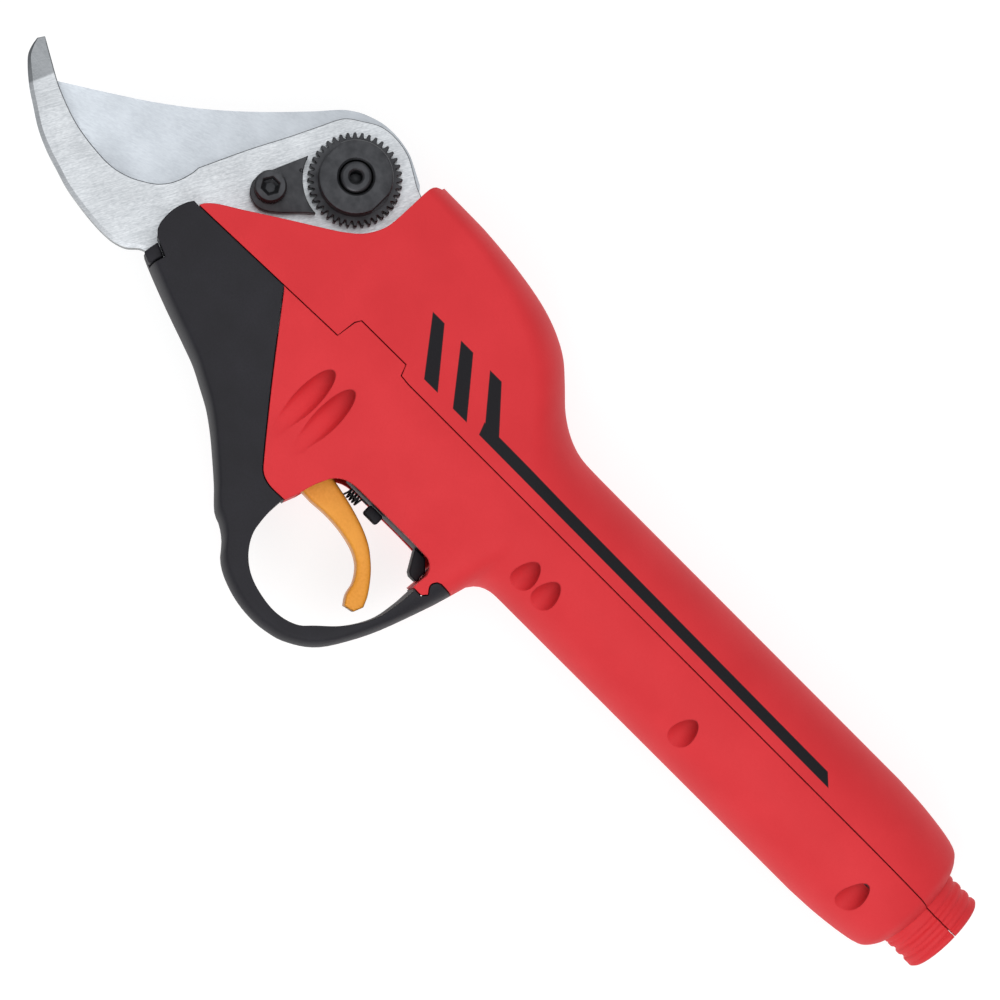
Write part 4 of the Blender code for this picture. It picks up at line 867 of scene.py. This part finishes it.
def buildNut():
    # the flange's rounded teeth follow a wave around its rim
    def rimRing(shrink, z):
        def radiusAt(a):
            wave = 0.5 + 0.5 * math.cos(nut["teeth"] * a)
            wave = min(1.0, max(0.0, (wave - nut["waveFrom"]) / nut["waveRun"]))
            return nut["root"] + (nut["tip"] - nut["root"]) * wave * wave * (3 - 2 * wave) - shrink
        return wavyRing(pivot, z, nut["teeth"] * nut["samples"], radiusAt)

    low, high = nut["base"], nut["flange"]
    flange = loftMesh("flange", [rimRing(0.25, low), rimRing(0, low + 0.25), rimRing(0, high - 0.3),
        rimRing(0.3, high)])
    r, c, top = nut["body"], nut["chamfer"], nut["top"]
    body = turnedMesh("body", [(0, high - 1), (r, high - 1), (r, top - c), (r - c * 0.4, top - c * 0.3),
        (r - c * 1.2, top), (0, top)], "Z", pivot, 96)
    tools = [(body, "UNION")]
    for side in (-1, 1):
        edges = sorted((pivot[0] + side * nut["flat"], pivot[0] + side * 14))
        tools.append((boxMesh("flat", (edges[0], pivot[1] - 14, high + 0.1), (edges[1], pivot[1] + 14, 40)),
            "DIFFERENCE"))
    hole, mouth = nut["bore"], nut["bore"] + nut["boreFlare"]
    profile = [(0, 20), (hole, 20), (hole, top - 0.5), (mouth, top + 0.1), (mouth, 40), (0, 40)]
    bore = turnedMesh("bore", profile, "Z", pivot)
    mesh = combined(flange, tools + [(bore, "DIFFERENCE")])
    finishPiece("toothed_nut_milled", mesh, "black_oxide_steel", "casing", ["toothed_nut"], angle=28)


def buildBolt():
    socket = prismMesh("socket", arcPath(pivot, bolt["hex"], 0, 300, 6), *bolt["hexDepth"])
    mesh = combined(turnedMesh("bolt", bolt["profile"], "Z", pivot), [(socket, "DIFFERENCE")])
    finishPiece("pivot_bolt_turned", mesh, "black_oxide_steel", "casing", ["pivot_bolt"], angle=28)


def buildLock():
    outline = smoothPath(lock["outline"], 0.5, 60) + arcPath(pivot, lock["reach"], 82, 18, 15)
    low, high = lock["z"]
    dimple = turnedMesh("dimple", [(0, high - 0.35), (0.3, high - 0.3), (0.55, high + 0.1), (0.55, 32),
        (0, 32)], "Z", lock["dimple"], 20)
    plate = bevelled(prismMesh("lock", outline, low, high), lock["edge"])
    mesh = combined(plate, drills([(lock["screw"], lock["hole"])]) + [(dimple, "DIFFERENCE")])
    finishPiece("lock_plate_pressed", mesh, "black_oxide_steel", "casing", ["lock_plate"], angle=28)


def buildCapScrew():
    # a socket cap screw with a knurled head
    place, steps = lock["screw"], capScrew["knurls"] * 4
    head, top = capScrew["head"], capScrew["high"]
    shank, low, end = capScrew["shank"], capScrew["low"], capScrew["end"]
    profile = [(0, end, 0), (shank, end + 0.4, 0), (shank, low, 0), (head - 0.3, low, 0),
        (head, low + 0.3, 1), (head, top - 0.9, 1), (head - 0.1, top - 0.45, 0), (head - 0.5, top, 0),
        (0, top, 0)]
    rings = [wavyRing(place, z, steps if radius else 1,
        lambda a: radius - knurled * capScrew["knurl"] * (1 - math.cos(capScrew["knurls"] * a))) for radius,
        z, knurled in profile]
    across, floor = capScrew["hex"], capScrew["hexFloor"]
    levels = ((across * 0.55, floor - 0.5), (across, floor), (across, top - 0.35),
        (across + 0.4, top + 0.05))
    hexRings = [[(x, y, z) for x, y in arcPath(place, radius, 0, 300, 6)] for radius, z in levels]
    mesh = combined(loftMesh("capScrew", rings), [(loftMesh("hexSocket", hexRings), "DIFFERENCE")])
    finishPiece("lock_plate_cap_screw", mesh, "black_oxide_steel", "casing", ["lock_plate_screw"], angle=28)


buildNut()
buildBolt()
buildLock()
buildCapScrew()
print("pivot, nut and lock built")

# ---- trigger

trigger = {"pivot": (-42.5, 31.7), "halfWidth": 6.5, "slotHalf": 3.6, "bossArc": (4.3, 240, 440, 30),
    "bore": 1.9,
    "front": [(-49.4, 36.2), (-54.4, 35.9), (-59.3, 36.2), (-63.7, 37.1), (-66.8, 38.3), (-69.3, 40.2),
        (-71.4, 43.4), (-72.2, 46.6), (-73.8, 49.1)],
    "back": [(-76.6, 48.5), (-77.6, 46.0), (-76.2, 43.0), (-72.7, 38.4), (-69.3, 35.3), (-66.8, 33.6),
        (-63.1, 31.9), (-58.4, 30.4), (-54.4, 29.4), (-48.5, 28.2)],
    "slot": [(-50.5, 26.0), (-50.5, 32.4), (-57.0, 33.2), (-63.0, 34.2), (-67.5, 36.2), (-70.0, 34.0),
        (-70.0, 26.0)],
    "tip": (-75.2, 48.8), "rounding": [(0.0, 1.3), (0.13, 0.65), (0.45, 0.22), (0.95, 0.0)], }
springWire = {"centre": (-56.3, 27.75, 20.0), "radius": 1.15, "turns": 4, "pitch": 0.95, "steps": 28,
    "lift": (1.4, 4.15), "foot": 1.8, "anchor": (-56.3, 25.8, 20.0), "keep": 0.6,
    "section": {"Wire Radius": 0.27}}
window = {"plate": ((-79.5, 24.4, 10.4), (-52.0, 25.8, 29.6)), "sensor": ((-65.3, 26.1, 17.6),
        (-60.6, 29.0, 22.4)),
    "stop": [(-76.3, 26.1), (-80.0, 26.1), (-82.4, 28.6), (-82.6, 32.0), (-80.4, 32.0), (-79.4, 31.4)],
    "stopZ": (15.0, 25.0), "edges": {"plate": 0.35, "sensor": 0.7, "stop": 0.5}}


def buildTrigger():
    outline = smoothPath(trigger["front"] + trigger["back"], 0.6) + arcPath(trigger["pivot"],
        *trigger["bossArc"])
    sign = turning(outline)
    rings = []
    for side in (-1, 1):
        levels = trigger["rounding"] if side < 0 else trigger["rounding"][::-1]
        for drop, inset in levels:
            # the rounding fades towards the narrow tip
            reach = [sign * inset * min(1.0, 0.25 + (Vector(p) - Vector(trigger["tip"])).length / 9)
                for p in outline]
            z = midZ + side * (trigger["halfWidth"] - drop)
            rings.append([(x, y, z) for x, y in offsetPath(outline, lambda i: reach[i], True)])
    slot = prismMesh("slot", smoothPath(trigger["slot"], 0.8), midZ - trigger["slotHalf"],
        midZ + trigger["slotHalf"])
    mesh = combined(loftMesh("trigger", rings), [(slot, "DIFFERENCE")]
        + drills([(trigger["pivot"], trigger["bore"])]))
    finishPiece("trigger_moulding", mesh, "orange_nylon", "trigger", ["trigger"], angle=30)


def buildSpring():
    # a torsion spring: one leg in the trigger's slot, the coil along X, the other leg on the plate
    x, y, z = springWire["centre"]
    length, radius = springWire["turns"] * springWire["pitch"], springWire["radius"]
    path = [(x + length / 2 + springWire["lift"][0], y + springWire["lift"][1], z + radius)]
    count = round((springWire["turns"] + 0.25) * springWire["steps"])
    for i in range(count + 1):
        a = math.pi / 2 + 2 * math.pi * i / springWire["steps"]
        path.append((x + length * (0.5 - i / count), y + radius * math.cos(a), z + radius * math.sin(a)))
    path.append((path[-1][0] - springWire["foot"], path[-1][1], path[-1][2]))
    tree, given = startTree("wireAlongPath", springWire["section"])
    line = addNode(tree, "GeometryNodeMeshToCurve", {"Mesh": given["Geometry"]}).outputs["Curve"]
    circle = addNode(tree, "GeometryNodeCurvePrimitiveCircle", {"Resolution": 10,
        "Radius": given["Wire Radius"]})
    wire = addNode(tree, "GeometryNodeCurveToMesh", {"Curve": line,
        "Profile Curve": circle.outputs["Curve"], "Fill Caps": True})
    endTree(tree, wire.outputs["Mesh"], given)
    mesh = grown(tree, path, springWire["section"], "black_oxide_steel", joined=True)
    spring = finishPiece("trigger_spring_wound", mesh, "black_oxide_steel", "casing", ["trigger_spring"],
        angle=50)
    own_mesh(spring)


def buildWindowParts():
    # what shows inside the trigger's window
    shapes = {"plate": boxMesh("plate", *window["plate"]), "sensor": boxMesh("sensor", *window["sensor"]),
        "stop": prismMesh("stop", window["stop"], *window["stopZ"])}
    for part, edge in window["edges"].items():
        finishPiece(f"trigger_{part}_moulded", bevelled(shapes[part], edge), "black_nylon", "casing",
            [f"trigger_{part}"])


buildTrigger()
buildSpring()
buildWindowParts()
print("trigger built")

# ---- casing screws, nose block and cable socket

caseScrew = {"Head Radius": 2.3, "Head Height": 1.8, "Socket Radius": 1.1, "Socket Depth": 1.1,
    "Shank Radius": 1.2}
noseBlock = {"outline": [(23.2, 17.9), (19.6, 19.5), (21.1, 23.3), (23.9, 22.1)], "z": (25.8, 33.0),
    "edge": 0.5}
cableSocket = {"profile": [(0, -222.0), (9.2, -222.0), (9.2, -240.6), (8.8, -241.0), (7.8, -241.0),
        (7.4, -240.6), (7.4, -230.5), (0, -230.5)],
    "pinRing": 3.6, "hole": (1.2, -236.0, -226.0), "pinFrom": -226.4,
    "pin": {"Pin Radius": 0.9, "Tip Radius": 0.5, "Pin Length": 8.6, "Tip Length": 0.6}}


def buildCaseScrews():
    tree, given = startTree("screwsOnPoints", caseScrew)
    height = given["Head Height"]
    head, hexagon, shank = [addNode(tree, "GeometryNodeMeshCylinder",
        {"Vertices": sides, "Radius": given[label], "Depth": depth}).outputs["Mesh"] for sides, label,
        depth in ((32, "Head Radius", height), (6, "Socket Radius", height), (24, "Shank Radius", 1.0))]
    lift = addNode(tree, "ShaderNodeMath", {0: height, 1: given["Socket Depth"]},
        operation="SUBTRACT").outputs[0]
    raised = lifted(tree, hexagon, lift)
    cut = addNode(tree, "GeometryNodeMeshBoolean", {"Mesh 1": head, "Mesh 2": raised},
        operation="DIFFERENCE", solver="EXACT").outputs["Mesh"]
    half = addNode(tree, "ShaderNodeMath", {0: height, 1: 0.5}, operation="MULTIPLY").outputs[0]
    seated = lifted(tree, cut, half)
    hung = lifted(tree, shank, -0.5)
    along = addNode(tree, "GeometryNodeInputNamedAttribute", {"Name": "length"},
        data_type="FLOAT").outputs["Attribute"]
    stretch = addNode(tree, "ShaderNodeCombineXYZ", {"X": 1.0, "Y": 1.0, "Z": along}).outputs["Vector"]
    upright = (-math.pi / 2, 0.0, 0.0)
    heads = addNode(tree, "GeometryNodeInstanceOnPoints", {"Points": given["Geometry"], "Instance": seated,
        "Rotation": upright})
    shanks = addNode(tree, "GeometryNodeInstanceOnPoints", {"Points": given["Geometry"], "Scale": stretch,
        "Instance": hung, "Rotation": upright})
    both = addNode(tree, "GeometryNodeJoinGeometry", {0: heads.outputs["Instances"]})
    tree.links.new(shanks.outputs["Instances"], both.inputs[0])
    endTree(tree, both.outputs["Geometry"], given)
    ends = [(x, floor + gap, end, side) for x, floor, end in casing["screws"] for side in (-1, 1)]
    places = [(x, top, midZ + side * casing["screwOffset"]) for x, top, end, side in ends]
    mesh = grown(tree, places, caseScrew, "black_oxide_steel", lengths=[top - end for x, top, end,
        side in ends])
    replaced = [f"case_screw_{i + 1}_{side}" for i in range(len(casing["screws"]))
        for side in ("near", "far")]
    finishPiece("case_screws", mesh, "black_oxide_steel", "casing", replaced)


def buildSocket():
    spots = [(cableSocket["pinRing"] * math.cos(a), midZ + cableSocket["pinRing"] * math.sin(a))
        for a in (math.pi / 4 + i * math.pi / 2 for i in range(4))]
    holes = [(rodMesh("pinHole", *cableSocket["hole"], "X", spot, 24), "DIFFERENCE") for spot in spots]
    mesh = combined(turnedMesh("cableSocket", cableSocket["profile"], "X", (0, midZ), 72), holes)
    finishPiece("cable_socket_moulded", mesh, "black_nylon", "casing", ["cable_socket"])
    tree, given = startTree("pinsOnPoints", cableSocket["pin"])
    stem = addNode(tree, "GeometryNodeMeshCylinder", {"Vertices": 20, "Radius": given["Pin Radius"],
        "Depth": given["Pin Length"]})
    half = addNode(tree, "ShaderNodeMath", {0: given["Pin Length"], 1: 0.5},
        operation="MULTIPLY").outputs[0]
    cone = addNode(tree, "GeometryNodeMeshCone", {"Vertices": 20, "Radius Top": given["Tip Radius"],
        "Radius Bottom": given["Pin Radius"], "Depth": given["Tip Length"]})
    pin = addNode(tree, "GeometryNodeJoinGeometry", {0: lifted(tree, stem.outputs["Mesh"], half)})
    tree.links.new(lifted(tree, cone.outputs["Mesh"], given["Pin Length"]), pin.inputs[0])
    pins = addNode(tree, "GeometryNodeInstanceOnPoints", {"Points": given["Geometry"],
        "Instance": pin.outputs["Geometry"], "Rotation": (0.0, -math.pi / 2, 0.0)})
    endTree(tree, pins.outputs["Instances"], given)
    mesh = grown(tree, [(cableSocket["pinFrom"], y, z) for y, z in spots], cableSocket["pin"], "brass")
    finishPiece("contact_pins", mesh, "brass", "casing", [f"contact_pin_{i + 1}" for i in range(4)])


buildCaseScrews()
buildSocket()
insertBlock = bevelled(prismMesh("noseBlock", noseBlock["outline"], *noseBlock["z"]), noseBlock["edge"])
finishPiece("guard_insert_moulded", insertBlock, "black_nylon", "casing", ["guard_insert"])
print("screws and socket built")

# ---- the CAD pieces that stay take the same finishes

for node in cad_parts.values():
    for place in node.material_slots:
        place.material = finishes[place.material.name.split(".")[0]]

print("pieces finished")
